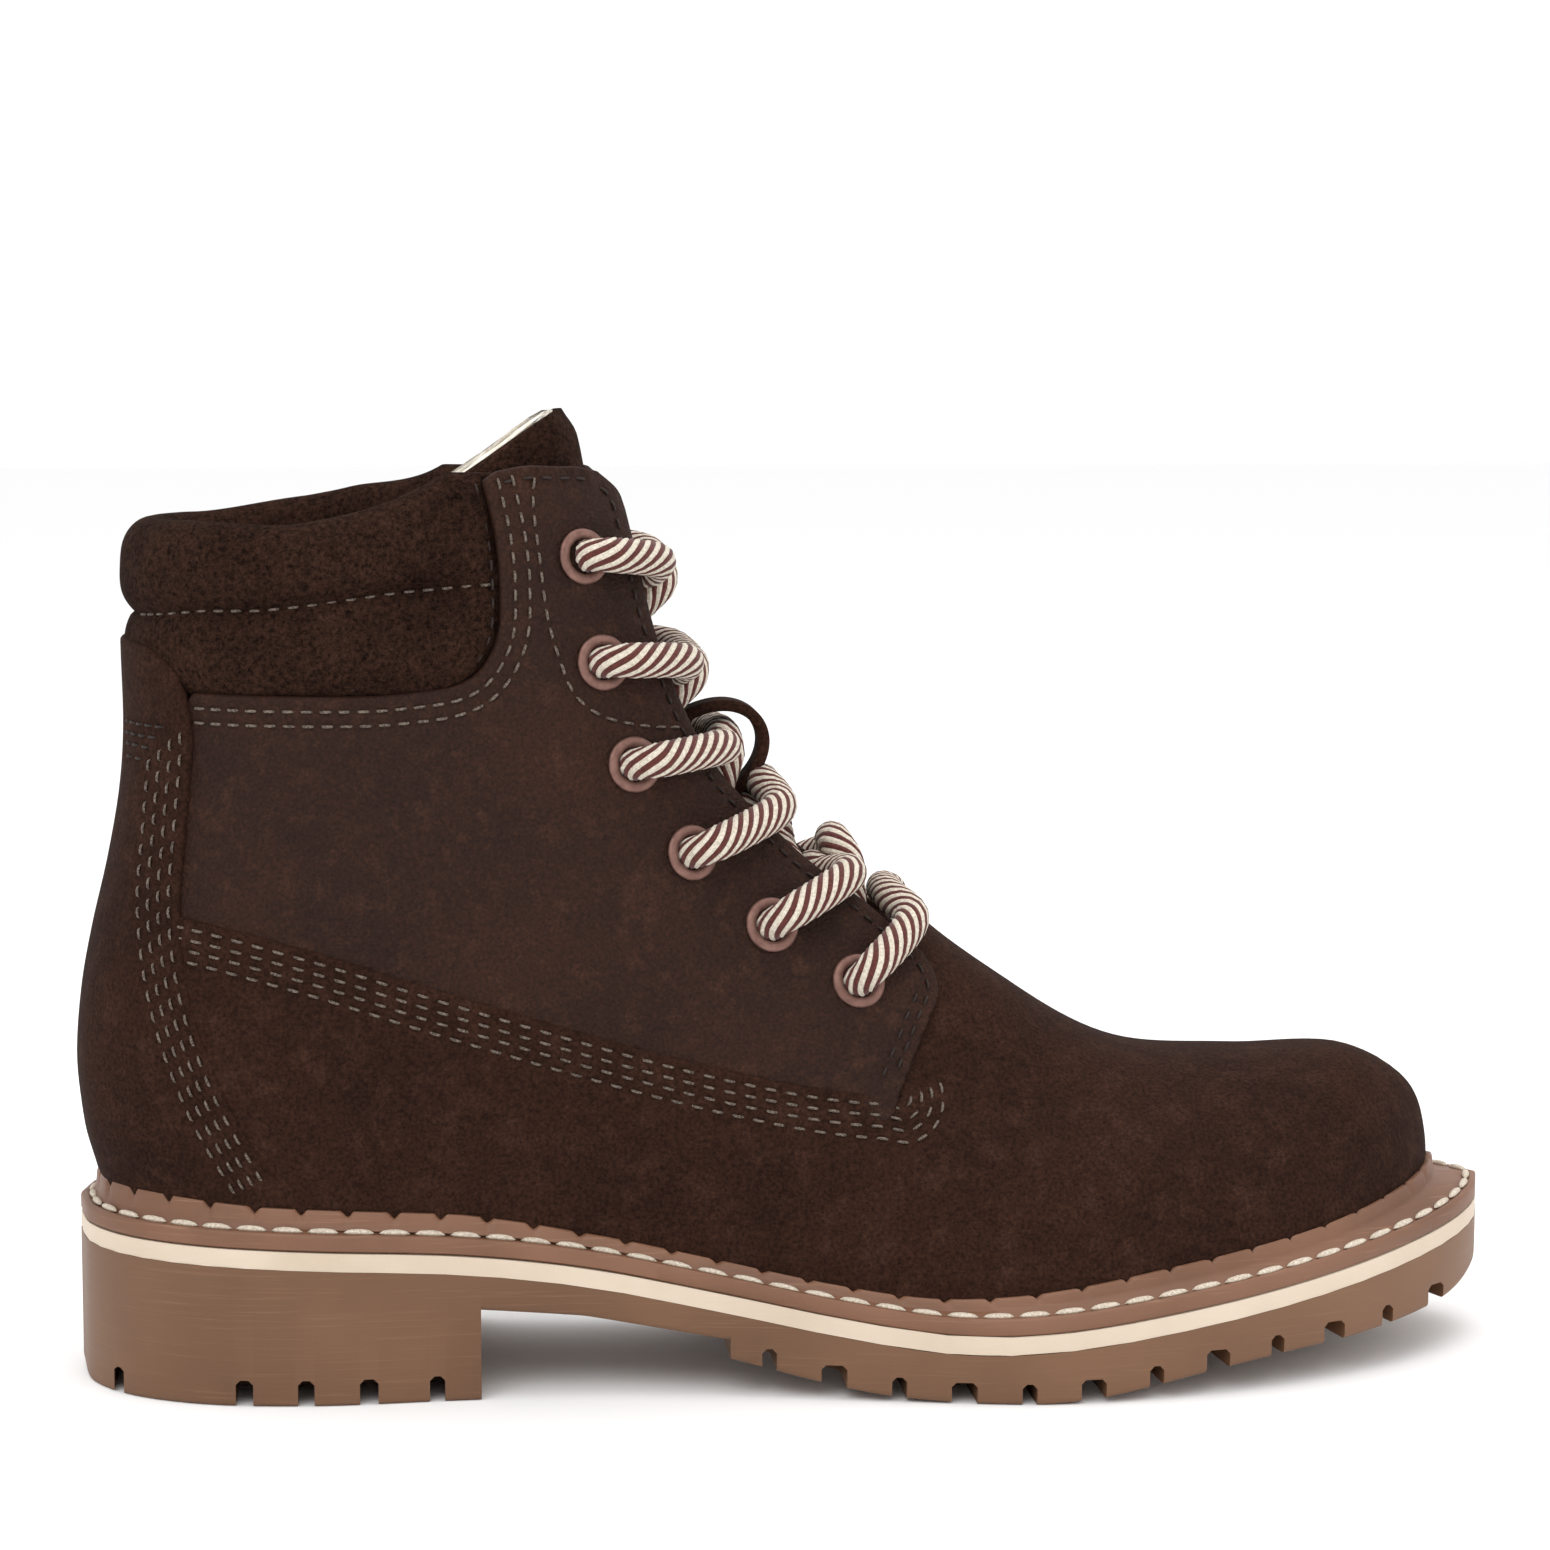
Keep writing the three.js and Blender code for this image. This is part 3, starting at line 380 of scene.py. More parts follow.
def spline(points, share):
    """Centripetal curve through points, at shares of the way through their list."""
    points = np.asarray(points, float)
    t = np.clip(np.asarray(share, float), 0, 1) * (len(points) - 1)
    i = np.minimum(t.astype(int), len(points) - 2)
    w = (t - i)[..., None]
    ends = np.vstack([2 * points[0] - points[1], points, 2 * points[-1] - points[-2]])
    p0, p1, p2, p3 = (ends[i + k] for k in range(4))
    d0, d1, d2 = (np.maximum(np.sum((a - b) ** 2, -1, keepdims=True) ** 0.25, 1e-6)
                  for a, b in ((p0, p1), (p1, p2), (p2, p3)))
    m1 = d1 * ((p1 - p0) / d0 - (p2 - p0) / (d0 + d1) + (p2 - p1) / d1)
    m2 = d1 * ((p2 - p1) / d1 - (p3 - p1) / (d1 + d2) + (p3 - p2) / d2)
    return p1 + m1 * w + (3 * (p2 - p1) - 2 * m1 - m2) * w ** 2 + (2 * (p1 - p2) + m1 + m2) * w ** 3


def curve(points, count=60):
    return spline(points, np.linspace(0, 1, count + 1))


def follow(line, x):
    return np.interp(x, line[:, 0], line[:, 1])


OUTER_PLAN, INNER_PLAN = curve(OUTER_WIDTHS, 192), curve(INNER_WIDTHS, 192)
TOP_LINE, TREAD_LINE, ARCH_LINE = curve(TOP_POINTS), curve(TREAD_POINTS), np.array(ARCH_POINTS)
RIDGE_LINE = curve(FRONT_POINTS, 110)[::-1]


def centre_line(x):
    return 5 * smooth(x, 185, 289)


def sole_width(x, side):
    return np.where(side < 0, follow(OUTER_PLAN, x), follow(INNER_PLAN, x))


def sole_top(x):
    return follow(TOP_LINE, x)


def ends_of(u):
    return spline(BACK_POINTS, u), spline(FRONT_POINTS, u)


def row_height(u, x):
    back, front = ends_of(u)
    q = np.clip((x - back[..., 0]) / (front[..., 0] - back[..., 0]), 0, 1)
    straight = mix(back[..., 1], front[..., 1], q)
    sag = (sole_top(x) - mix(BACK_POINTS[0][1], FRONT_POINTS[0][1], q)) * (1 - smooth(u, 0, 0.42))
    dip = 14 * smooth(u, 0.05, 0.36) * (1 - smooth(u, 0.42, 0.64)) * 6.75 * q * q * (1 - q)
    return straight + sag * np.maximum(np.sin(np.pi * q), 0) ** 0.25 - dip


def upper_width(u, x, z, side):
    back, front = ends_of(u)
    q = np.clip((x - back[..., 0]) / (front[..., 0] - back[..., 0]), 0, 1)
    from_heel = x - back[..., 0] * (1 - q)
    along = np.clip(from_heel + (SOLE_LENGTH - TOE_X) * smooth(from_heel / TOE_X, 0.84, 1), 0, SOLE_LENGTH)
    foot = sole_width(along, side) * 0.885
    curved = np.clip(1 - (x - back[..., 0]) / 38, 0, 1)
    shaft = np.where(side < 0, 35.5, 34) * (1 - curved ** 2.2) ** (1 / 2.2)
    low, top = sole_top(x), np.where(x < RIDGE_LINE[0, 0], RIDGE_LINE[0, 1] + (RIDGE_LINE[0, 0] - x) * 4,
                                     follow(RIDGE_LINE, x))
    drop = np.clip((top - z) / (top - low), 0, 1)
    return mix(foot, shaft, smooth(u, 0.18, 0.62)) * (1 - (1 - drop) ** 2.25) ** (1 / 2.25)


def wrap(v):
    return (np.asarray(v, float) + np.pi) % (2 * np.pi) - np.pi


def last(u, v):
    """Points of the surface: v is 0 at the heel, +-pi at the ridge, negative on the outer side."""
    u, v = np.broadcast_arrays(np.clip(np.asarray(u, float), 0, 1), wrap(v))
    side = np.where(v < 0, -1, 1)
    q = (1 - np.cos(v)) / 2
    back, front = ends_of(u)
    x = mix(back[..., 0], front[..., 0], q)
    z = row_height(u, x)
    width = upper_width(u, x, z, side) * (np.abs(np.sin(v)) > 1e-6)
    return np.stack([x, centre_line(x) + side * width, z], -1)


def unit(vectors):
    return vectors / np.maximum(np.linalg.norm(vectors, axis=-1, keepdims=True), 1e-9)


def last_normal(u, v):
    along = last(np.minimum(u + 0.015, 1), v) - last(np.maximum(np.asarray(u) - 0.015, 0), v)
    around = last(u, np.asarray(v) + 0.05) - last(u, np.asarray(v) - 0.05)
    return unit(np.cross(along, around))


def raised(u, v, depth):
    """Points at a depth over the surface; positive is outside."""
    depth = np.asarray(depth, float)
    return last(u, v) + last_normal(u, v) * depth[..., None]


def locate(line, side):
    """(u, v) of side-view points on one side."""
    line = np.asarray(line, float).reshape(-1, 2)
    low, high = np.zeros(len(line)), np.ones(len(line))
    for _ in range(34):
        middle = (low + high) / 2
        under = row_height(middle, line[:, 0]) < line[:, 1]
        low, high = np.where(under, middle, low), np.where(under, high, middle)
    u = (low + high) / 2
    back, front = ends_of(u)
    q = np.clip((line[:, 0] - back[:, 0]) / (front[:, 0] - back[:, 0]), 0, 1)
    return np.stack([u, side * np.arccos(1 - 2 * q)], -1)


def row_at(v, z):
    """The row u that reaches a height at turn v."""
    v, z = np.broadcast_arrays(np.asarray(v, float), np.asarray(z, float))
    low, high = np.zeros(v.shape), np.ones(v.shape)
    for _ in range(34):
        middle = (low + high) / 2
        under = last(middle, v)[..., 2] < z
        low, high = np.where(under, middle, low), np.where(under, high, middle)
    return (low + high) / 2


SIDES = {"lateral": -1, "medial": 1}

# ---- Mesh tools ----
def build(name, vertices, faces, look, body="boot", slot=None, replaces=(), sharp=None, looks=None,
          index=None):
    """A mesh in millimetres becomes an object that rides on a body."""
    mesh = bpy.data.meshes.new(name)
    corners = (np.asarray(vertices) * 0.001 + ORIGIN).tolist()
    mesh.from_pydata(corners, [], [list(map(int, face)) for face in faces])
    for key in looks or [look]:
        mesh.materials.append(LOOKS[key])
    if index is not None:
        mesh.polygons.foreach_set("material_index", np.asarray(index, np.int32))
    mesh.polygons.foreach_set("use_smooth", np.ones(len(mesh.polygons), bool))
    mesh.update()
    piece = bpy.data.objects.new(name, mesh)
    bpy.context.collection.objects.link(piece)
    if sharp is not None:
        mesh.set_sharp_from_angle(angle=math.radians(sharp))
    if body:
        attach(piece, body)
    if replaces:
        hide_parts(*replaces)
    return piece


def grid_faces(rows, columns, start=0, closed_rows=False, closed_columns=False, flip=False):
    faces = []
    for i in range(rows if closed_rows else rows - 1):
        below, above = start + i * columns, start + (i + 1) % rows * columns
        for j in range(columns if closed_columns else columns - 1):
            k = (j + 1) % columns
            face = (below + j, below + k, above + k, above + j)
            faces.append((face[0],) + face[:0:-1] if flip else face)
    return faces


def capped_faces(rows, columns, start=0, closed_columns=True, flip=False):
    """A grid of faces whose first and last rows are filled in."""
    first = list(range(start, start + columns))
    final = [corner + (rows - 1) * columns for corner in first]
    caps = [first, final[::-1]] if flip else [first[::-1], final]
    return grid_faces(rows, columns, start, closed_columns=closed_columns, flip=flip) + caps


def lengths_along(points):
    steps = np.linalg.norm(np.diff(points, axis=0), axis=1)
    return np.concatenate([[0], np.cumsum(steps)])


def sample(at, along, points):
    """Points at given lengths along a polyline."""
    return np.stack([np.interp(at, along, column) for column in points.T], -1)


def resample(points, pitch):
    """Points at an even pitch along a polyline."""
    points = np.asarray(points, float)
    along = lengths_along(points)
    count = max(int(round(along[-1] / pitch)), 1)
    return sample(np.linspace(0, along[-1], count + 1), along, points)


CHART = np.array([75.0, 200.0])  # a turn and a row, scaled to about millimetres


def to_surface(chart, depth=0.0, turn=0.0):
    """Points over the last at chart places; turn is where the chart's own turns start."""
    depth = np.broadcast_to(np.asarray(depth, float), (len(chart),))
    return raised(chart[:, 1] / CHART[1], chart[:, 0] / CHART[0] + turn, depth)


def inside(points, outline):
    """Whether each point lies inside a closed outline."""
    x, y = points[:, 0], points[:, 1]
    hit = np.zeros(len(points), bool)
    for (x0, y0), (x1, y1) in zip(outline, np.roll(outline, -1, 0)):
        crosses = (y0 > y) != (y1 > y)
        with np.errstate(divide="ignore", invalid="ignore"):
            hit ^= crosses & (x < (x1 - x0) * (y - y0) / (y1 - y0) + x0)
    return hit


def nearest(points, others):
    """Distance of each point to the closest of some others."""
    tree = kdtree.KDTree(len(others))
    for i, p in enumerate(others):
        tree.insert(p, i)
    tree.balance()
    return np.array([tree.find(p)[2] for p in points])


def flat(points):
    return np.column_stack([points, np.zeros(len(points))])


SEAM_REACH = 0.75  # how far a row's groove spreads


def triangulate(border, extra, spacing):
    """Triangles that fill a closed border, through extra points and an even grid."""
    low, high = border.min(0), border.max(0)
    gx, gy = np.meshgrid(np.arange(low[0], high[0], spacing), np.arange(low[1], high[1], spacing * 0.87))
    gx[1::2] += spacing / 2
    grid = np.stack([gx.ravel(), gy.ravel()], -1)
    extra = extra[inside(extra, border)]
    grid = grid[inside(grid, border)]
    grid = grid[nearest(flat(grid), flat(np.vstack([extra, border]))) > spacing * 0.45]
    every = [Vector(point) for point in np.vstack([border, extra, grid]).tolist()]
    result = delaunay_2d_cdt(every, [], [list(range(len(border)))], 1, 1e-4)
    return np.array([tuple(point) for point in result[0]]), [tuple(face) for face in result[2]]


def border_rings(border, turn):
    """Points just inside a border, at even distances over the last."""
    step = np.roll(border, -1, 0) - np.roll(border, 1, 0)
    inwards = unit(np.stack([-step[:, 1], step[:, 0]], -1))
    if not inside(border[:3] + inwards[:3] * 0.4, border).any():
        inwards = -inwards
    probe = 0.5
    moved = to_surface(border + inwards * probe, turn=turn) - to_surface(border, turn=turn)
    scale = np.maximum(np.linalg.norm(moved, axis=1) / probe, 0.25)
    return [border + inwards * (reach / scale)[:, None] for reach in (0.2, 0.55, 1.1)]


def panel(name, outline, depth, look, rows=(), ridge=False, **how):
    """A leather panel over the last. outline and rows are chart polylines, and depth is a function of
    side-view x and z. The panel's edge is rounded, and each row of stitches lies in a groove."""
    thickness, edge, groove = 1.8, 0.9, 0.32
    turn = np.pi if ridge else 0.0
    border = resample(np.vstack([outline, outline[:1]]), 1.1)[:-1]
    extra = border_rings(border, turn)
    for row in rows:
        row = resample(row, 1.3)
        way = unit(np.gradient(row, axis=0))
        square = np.stack([-way[:, 1], way[:, 0]], -1)
        extra += [row, row + square, row - square]
    chart, triangles = triangulate(border, np.vstack(extra), spacing=2.3)
    base = to_surface(chart, turn=turn)
    from_edge = nearest(base, to_surface(border, turn=turn))
    top = depth(base[:, 0], base[:, 2])
    under = top - thickness
    top = top - edge * (1 - np.sqrt(np.clip(1 - (1 - np.minimum(from_edge / edge, 1)) ** 2, 0, 1)))
    if rows:
        seams = np.vstack([to_surface(resample(row, 0.8), turn=turn) for row in rows])
        top = top - groove * np.exp(-(nearest(base, seams) / SEAM_REACH) ** 2)
    vertices = np.vstack([to_surface(chart, top, turn), to_surface(chart, under, turn)])
    count = len(chart)
    edges = {(a, b) for face in triangles for a, b in zip(face, face[1:] + face[:1])}
    walls = [(b, a, a + count, b + count) for face in triangles for a, b in zip(face, face[1:] + face[:1])
             if (b, a) not in edges]
    faces = triangles + [tuple(i + count for i in reversed(face)) for face in triangles] + walls
    a, b, c = (vertices[corner] for corner in triangles[0])
    outwards = last_normal(*(chart[triangles[0][0]] / CHART)[::-1])
    if np.dot(np.cross(b - a, c - a), outwards) < 0:
        faces = [tuple(reversed(face)) for face in faces]
    return build(name, vertices, faces, look, **how)


def chart_line(line, side, ridge=False):
    """Side-view points as chart points. With ridge, the turn is measured from the ridge."""
    u, v = locate(line, side).T
    return np.stack([v - np.pi * side if ridge else v, u], -1) * CHART


def rings(centres, across, up, wide, tall, sides):
    """Elliptical rings of points round a line of centres."""
    turns = np.arange(sides) * 2 * np.pi / sides
    flat_part = across[:, None] * (wide[:, None] * np.cos(turns))[..., None]
    tall_part = up[:, None] * (tall[:, None] * np.sin(turns))[..., None]
    return (centres[:, None] + flat_part + tall_part).reshape(-1, 3)


STITCH_SHARES = np.array([0, 0.14, 0.5, 0.86, 1.0])
STITCH_BOW = np.array([-0.45, 0.02, 0.14, 0.02, -0.45])
STITCH_SIZE = 0.31 * np.array([0.45, 0.9, 1.0, 0.9, 0.45])


def sewn(name, rows, depth, look="thread", pitch=3.6):
    """Rows of stitches on both sides of the boot: each stitch is a short bowed bead of thread.
    depth is a number or a function of side-view x and z."""
    vertices, faces = [], []
    length, sides = 2.4, 6
    for line, side in [(row, side) for row in rows for side in SIDES.values()]:
        u, v = locate(resample(line, 0.8), side).T
        surface = last(u, v)
        top = depth(surface[:, 0], surface[:, 2]) if callable(depth) else np.full(len(u), float(depth))
        path = raised(u, v, top)
        out = last_normal(u, v)
        along = lengths_along(path)
        total = int(along[-1] // pitch)
        for k in range(total):
            at = (k + 0.5) * along[-1] / total - length / 2 + STITCH_SHARES * length
            centre = sample(at, along, path)
            normal = unit(sample(at, along, out))
            across = unit(np.cross(unit(np.gradient(centre, axis=0)), normal))
            faces += capped_faces(len(centre), sides, len(vertices) * len(centre) * sides)
            vertices.append(rings(centre + normal * STITCH_BOW[:, None], across, normal, STITCH_SIZE,
                                  STITCH_SIZE * 0.85, sides))
    return build(name, np.vstack(vertices), faces, look)


def beside(line, distance):
    """A polyline moved sideways, to its left when the distance is positive."""
    line = np.asarray(line, float)
    way = unit(np.gradient(line, axis=0))
    return line + np.stack([-way[:, 1], way[:, 0]], -1) * distance


def part_of(line, start, end):
    """The stretch of a polyline between two shares of its length."""
    fine = resample(line, 0.5)
    return fine[int(start * (len(fine) - 1)):int(math.ceil(end * (len(fine) - 1))) + 1]

# ---- Pattern curves in side view ----
WING_TOP = curve([
    (-20, 99.5), (23, 95.7), (46, 90), (76, 80.1), (114, 68.3), (134, 63), (150, 59.9), (162.4, 58.6)
])
FACING = curve([
    (162.4, 58.6), (168.4, 71.1), (171.6, 77.6), (170, 83.2), (158.8, 93.9), (144.6, 105.2),
    (128.7, 121.4), (122.7, 131.5), (115.2, 151.5), (111.3, 168.3), (108.6, 177.4), (104.4, 181.4)
], 80)
QUARTER_TOP = curve([(104.4, 181.4), (100.5, 182.3), (96.6, 182.4), (90, 182.6), (84.3, 181.6)], 20)
COLLAR_EDGE = curve([
    (25.2, 139.3), (40, 139), (65.2, 139.2), (78.6, 142), (83.6, 149), (84.5, 159), (83.7, 168.5),
    (81.2, 180.2)
])
COLLAR_TOP = curve([
    (-20, 173), (22, 173), (46.5, 172.1), (56, 173.1), (65.6, 175), (73.3, 177.2), (84, 181.4),
    (90, 184), (100, 188)
])
CHANNEL = np.array([
    (-20, 153), (13.1, 153.2), (27.1, 154.9), (38.7, 155.1), (50.2, 156.3), (65.4, 158.4),
    (76.9, 159.4), (84, 159.9)
])
BACKSTAY = curve([
    (44, 30), (40, 42.6), (30.7, 60.7), (24.8, 78.3), (22.6, 96.5), (24, 113), (25.3, 133.2),
    (22.2, 143.2), (17.1, 147.6)
], 60)
EYELETS = [(100.9, 164.8), (104.5, 144.3), (110.5, 124.4), (121.8, 106.8), (137.7, 92), (154.9, 80.5)]
FACING_TURNS = [0.37, 0.42, 0.45, 0.51, 0.54, 0.53]

# ---- Upper panels ----
WING_DEPTH, THROAT_DEPTH, BACKSTAY_DEPTH = 0.7, -1.3, 1.3
WING_CORNER = WING_TOP[-1]


def vamp_depth(x, z):
    """Proud where the wings lap the quarters, and sunk where the quarters lap the throat."""
    throat = smooth(x, 154, 163) * smooth(z, 50, 62) * (1 - smooth(x, 174, 190))
    proud = WING_DEPTH * (1 - smooth(x, 150, 200)) * mix(0.3, 1, smooth(z, 38, 48))
    return mix(proud, THROAT_DEPTH, throat)


def quarter_depth(x, z):
    """Rises a little over the vamp at the throat."""
    return 0.35 * smooth(x, 140, 160) * (1 - smooth(z, 95, 120))


def wing_row(distance):
    """A row along the wing's edge that turns up round the quarter's front corner."""
    row = beside(part_of(WING_TOP, 0.22, 0.985), -distance)
    turns = np.radians(np.linspace(-82, 22, 9))
    arc = WING_CORNER + (distance + 0.6) * np.stack([np.cos(turns), np.sin(turns)], -1)
    return curve(np.vstack([row[::12], arc]), 160)


WING_ROWS = [wing_row(distance) for distance in (1.9, 4.0, 6.1, 8.3)]
FRONT_ROWS = [beside(part_of(FACING, 0.03, 0.985), 2.4)]
CORNER_ROWS = [beside(part_of(FACING, 0.01, 0.14), 4.6)]
TOP_ROW = [beside(QUARTER_TOP, 2.4)[2:]]
STAY_ROW = [curve([(91.6, 181.0), (91.2, 176), (92.4, 164.4), (93.9, 152.8), (96.1, 145.1), (99, 138.3),
                   (103.8, 134.3), (111.9, 131.9), (120.5, 130.9)])]
COLLAR_ROWS = [beside(COLLAR_EDGE, -d) for d in (3.1, 5.9)]
BACKSTAY_ROWS = [beside(part_of(BACKSTAY, 0.12, end), d)
                 for d, end in ((1.7, 0.855), (3.7, 0.84), (5.7, 0.823), (7.7, 0.803))]
BACKSTAY_TOP_ROWS = [curve([(12.6, z), (x - 2, z), (x, z)], 12)
                     for x, z in ((20.8, 132.2), (19.4, 130), (18, 127.9), (16.6, 125.4))]


def vamp():
    halves = []
    for side in SIDES.values():
        rear = beside(part_of(BACKSTAY, 0.0, 0.56), 5)
        edge = part_of(WING_TOP, 0.2, 1.0)
        throat = np.array([(160, 66), (163, 79), (168, 88.5)])
        half = chart_line(np.vstack([rear, edge[edge[:, 0] > rear[-1, 0]], throat]), side, ridge=True)
        half[0, 1] = 0
        halves.append(half)
    outer, inner = halves
    ridge = np.array([[0.0, 7.05 / 11]]) * CHART
    toe = np.stack([np.linspace(inner[0, 0], outer[0, 0], 240), np.zeros(240)], -1)
    border = np.vstack([outer, ridge, inner[::-1], toe[1:-1]])
    rows = [chart_line(row, side, ridge=True) for side in SIDES.values() for row in WING_ROWS]
    panel("vamp_shell", border, vamp_depth, "nubuck", rows=rows, ridge=True, slot="nubuck", replaces=["vamp"])


def quarter(name, side):
    under_wing = beside(part_of(WING_TOP, 0.2, 0.97), -7)
    rear = beside(part_of(BACKSTAY, 0.52, 0.86), 4)
    collar_edge = beside(part_of(COLLAR_EDGE, 0.0, 1.0), -0.2)
    line = np.vstack([FACING, QUARTER_TOP[1:], collar_edge[-2::-1], rear[::-1], under_wing])
    rows = FRONT_ROWS + CORNER_ROWS + TOP_ROW + STAY_ROW + COLLAR_ROWS
    panel(f"quarter_{name}_shell", chart_line(line, side), quarter_depth, "grain",
          rows=[chart_line(row, side) for row in rows], slot="grain_leather", replaces=[f"quarter_{name}"])


def backstay_depth(x, z):
    """Thins towards the welt."""
    return mix(0.2, BACKSTAY_DEPTH, smooth(z, 38, 50))


def backstay():
    left, right = chart_line(BACKSTAY, -1), chart_line(BACKSTAY, 1)
    left[0, 1] = right[0, 1] = 0
    bottom = np.stack([np.linspace(right[0, 0], left[0, 0], 60)[1:-1], np.zeros(58)], -1)
    rows = [chart_line(row, side) for side in SIDES.values() for row in BACKSTAY_ROWS + BACKSTAY_TOP_ROWS]
    panel("backstay_shell", np.vstack([left, right[::-1], bottom]), backstay_depth, "nubuck", rows=rows,
          slot="nubuck", replaces=["backstay"])


def stitching():
    sewn("wing_stitches", WING_ROWS, vamp_depth, pitch=4.1)
    sewn("facing_stitches", FRONT_ROWS + CORNER_ROWS + TOP_ROW, quarter_depth, look="dark_thread")
    sewn("stay_stitches", STAY_ROW, quarter_depth)
    sewn("collar_edge_stitches", COLLAR_ROWS, quarter_depth)
    sewn("backstay_stitches", BACKSTAY_ROWS, backstay_depth, pitch=4.1)
    sewn("backstay_top_stitches", BACKSTAY_TOP_ROWS, backstay_depth, look="dark_thread")
    sewn("collar_channel_stitches", [CHANNEL[1:]], -1.75)
    sewn("collar_seam_stitches", [beside(COLLAR_EDGE, 1.1)], -1.2, look="dark_thread")

# ---- Collar ----
def puff(share, height, power=2.6):
    """A padded channel's swell between two seams."""
    return height * (1 - np.abs(2 * np.clip(share, 0, 1) - 1) ** power)


MEDIAL_RISE, COLLAR_LIMIT = 3.2, 181.6


def collar():
    """Two padded channels that run round the heel, the upper one rolling over into the shaft.
    stations run from one front end to the other, and each profile entry is a line along them."""
    stations = np.linspace(-1.05, 1.05, 273)
    seam_level, roll_level = 0.42, 0.78
    seam_depth, tuck_depth, roll_top, roll_radius, roll_rise = -1.5, -2.7, 0.95, 5.6, 8.0
    profile = [("flange", share) for share in (1, 0.3)]
    for kind, count in (("low", 16), ("high", 20), ("roll", 20)):
        profile += [(kind, share) for share in np.linspace(0, 1, count, endpoint=False)]
    profile += [("down", share) for share in np.linspace(0, 1, 10)]
    grid = np.zeros((len(stations), len(profile), 3))
    for j, (kind, share) in enumerate(profile):
        turn = share * math.pi
        level = {"flange": 0, "low": share * seam_level, "high": mix(seam_level, roll_level, share),
                 "roll": mix(roll_level, 1, math.sin(turn)), "down": roll_level - 0.4 * share}[kind]
        edge_x = np.interp(level, [0, 0.06, 0.16, 0.35, 0.6, 1], [76, 80.4, 83.4, 84.6, 84.1, 81.6])
        v = stations * abs(locate([(edge_x, mix(141, 180, level))], -1)[0, 1])
        x = last(0.85, v)[:, 0]
        low = np.interp(x, [11, 25, 70, 84], [139.6, 138.5, 138.7, 141])
        seam = follow(CHANNEL, x)
        medial_rise = MEDIAL_RISE * smooth(x, 22, 50) * (1 - smooth(x, 62, 84))
        top = np.minimum(follow(COLLAR_TOP, x) - 0.6 + np.where(v > 0, medial_rise, 0), COLLAR_LIMIT)
        shoulder = top - roll_rise
        z, depth = {
            "flange": (low - 5 * share, tuck_depth + 0.1 * (share < 1)),
            "low": (mix(low, seam, share), seam_depth + puff(share, 2.1)),
            "high": (mix(seam, shoulder, share), seam_depth - 0.4 + puff(share * 0.62, 2.9, 3.2)),
            "roll": (shoulder + roll_rise * math.sin(turn), roll_top - roll_radius * (1 - math.cos(turn))),
            "down": (shoulder - 22 * share, roll_top - 2 * roll_radius),
        }[kind]
        tuck = np.clip((np.abs(stations) - 0.95) / 0.06, 0, 1) ** 2
        wrinkle = np.sin(stations * 31 + level * 9) * np.sin(stations * 13.3 + 1) * np.sin(level * 7 + 2)
        grid[:, j] = raised(row_at(v, z), v, mix(depth, min(depth, tuck_depth), tuck) + 0.16 * wrinkle)
    faces = capped_faces(*grid.shape[:2], closed_columns=False)
    piece = build("collar_pad", grid.reshape(-1, 3), faces, "suede", slot="suede", replaces=["collar"])

# ---- Tongue ----
TONGUE_EDGE = curve([
    (150, 68), (136, 80), (119, 95), (104, 116), (92, 137), (83, 155), (74, 168), (68.5, 174.6),
    (76, 179.4), (84, 184.6), (91, 189.2), (98, 193.4)
], 110)


def tongue_depth(w, u):
    """Sunk between the quarters, deeper under the collar, and further forward above the top lace."""
    forward = 3.4 * smooth(u, 0.93, 0.99) * (1 - smooth(np.abs(w), 0.3, 0.9))
    return mix(-10.4, -11.0, smooth(np.abs(w), 0, 0.4)) - 1.7 * smooth(np.abs(w), 0.5, 0.8) + forward


def tongue_outline():
    """(u, v) of the tongue's edge, moved until its upper part shows where the side view has it."""
    moved = TONGUE_EDGE.copy()
    share = smooth(TONGUE_EDGE[:, 1], 145, 170)[:, None]
    for _ in range(10):
        uv = locate(moved, 1)
        shown = raised(uv[:, 0], uv[:, 1], tongue_depth(np.pi - uv[:, 1], uv[:, 0]))[:, [0, 2]]
        moved += 0.7 * share * (TONGUE_EDGE - shown)
    uv[:, 0] = np.maximum.accumulate(uv[:, 0])
    return uv


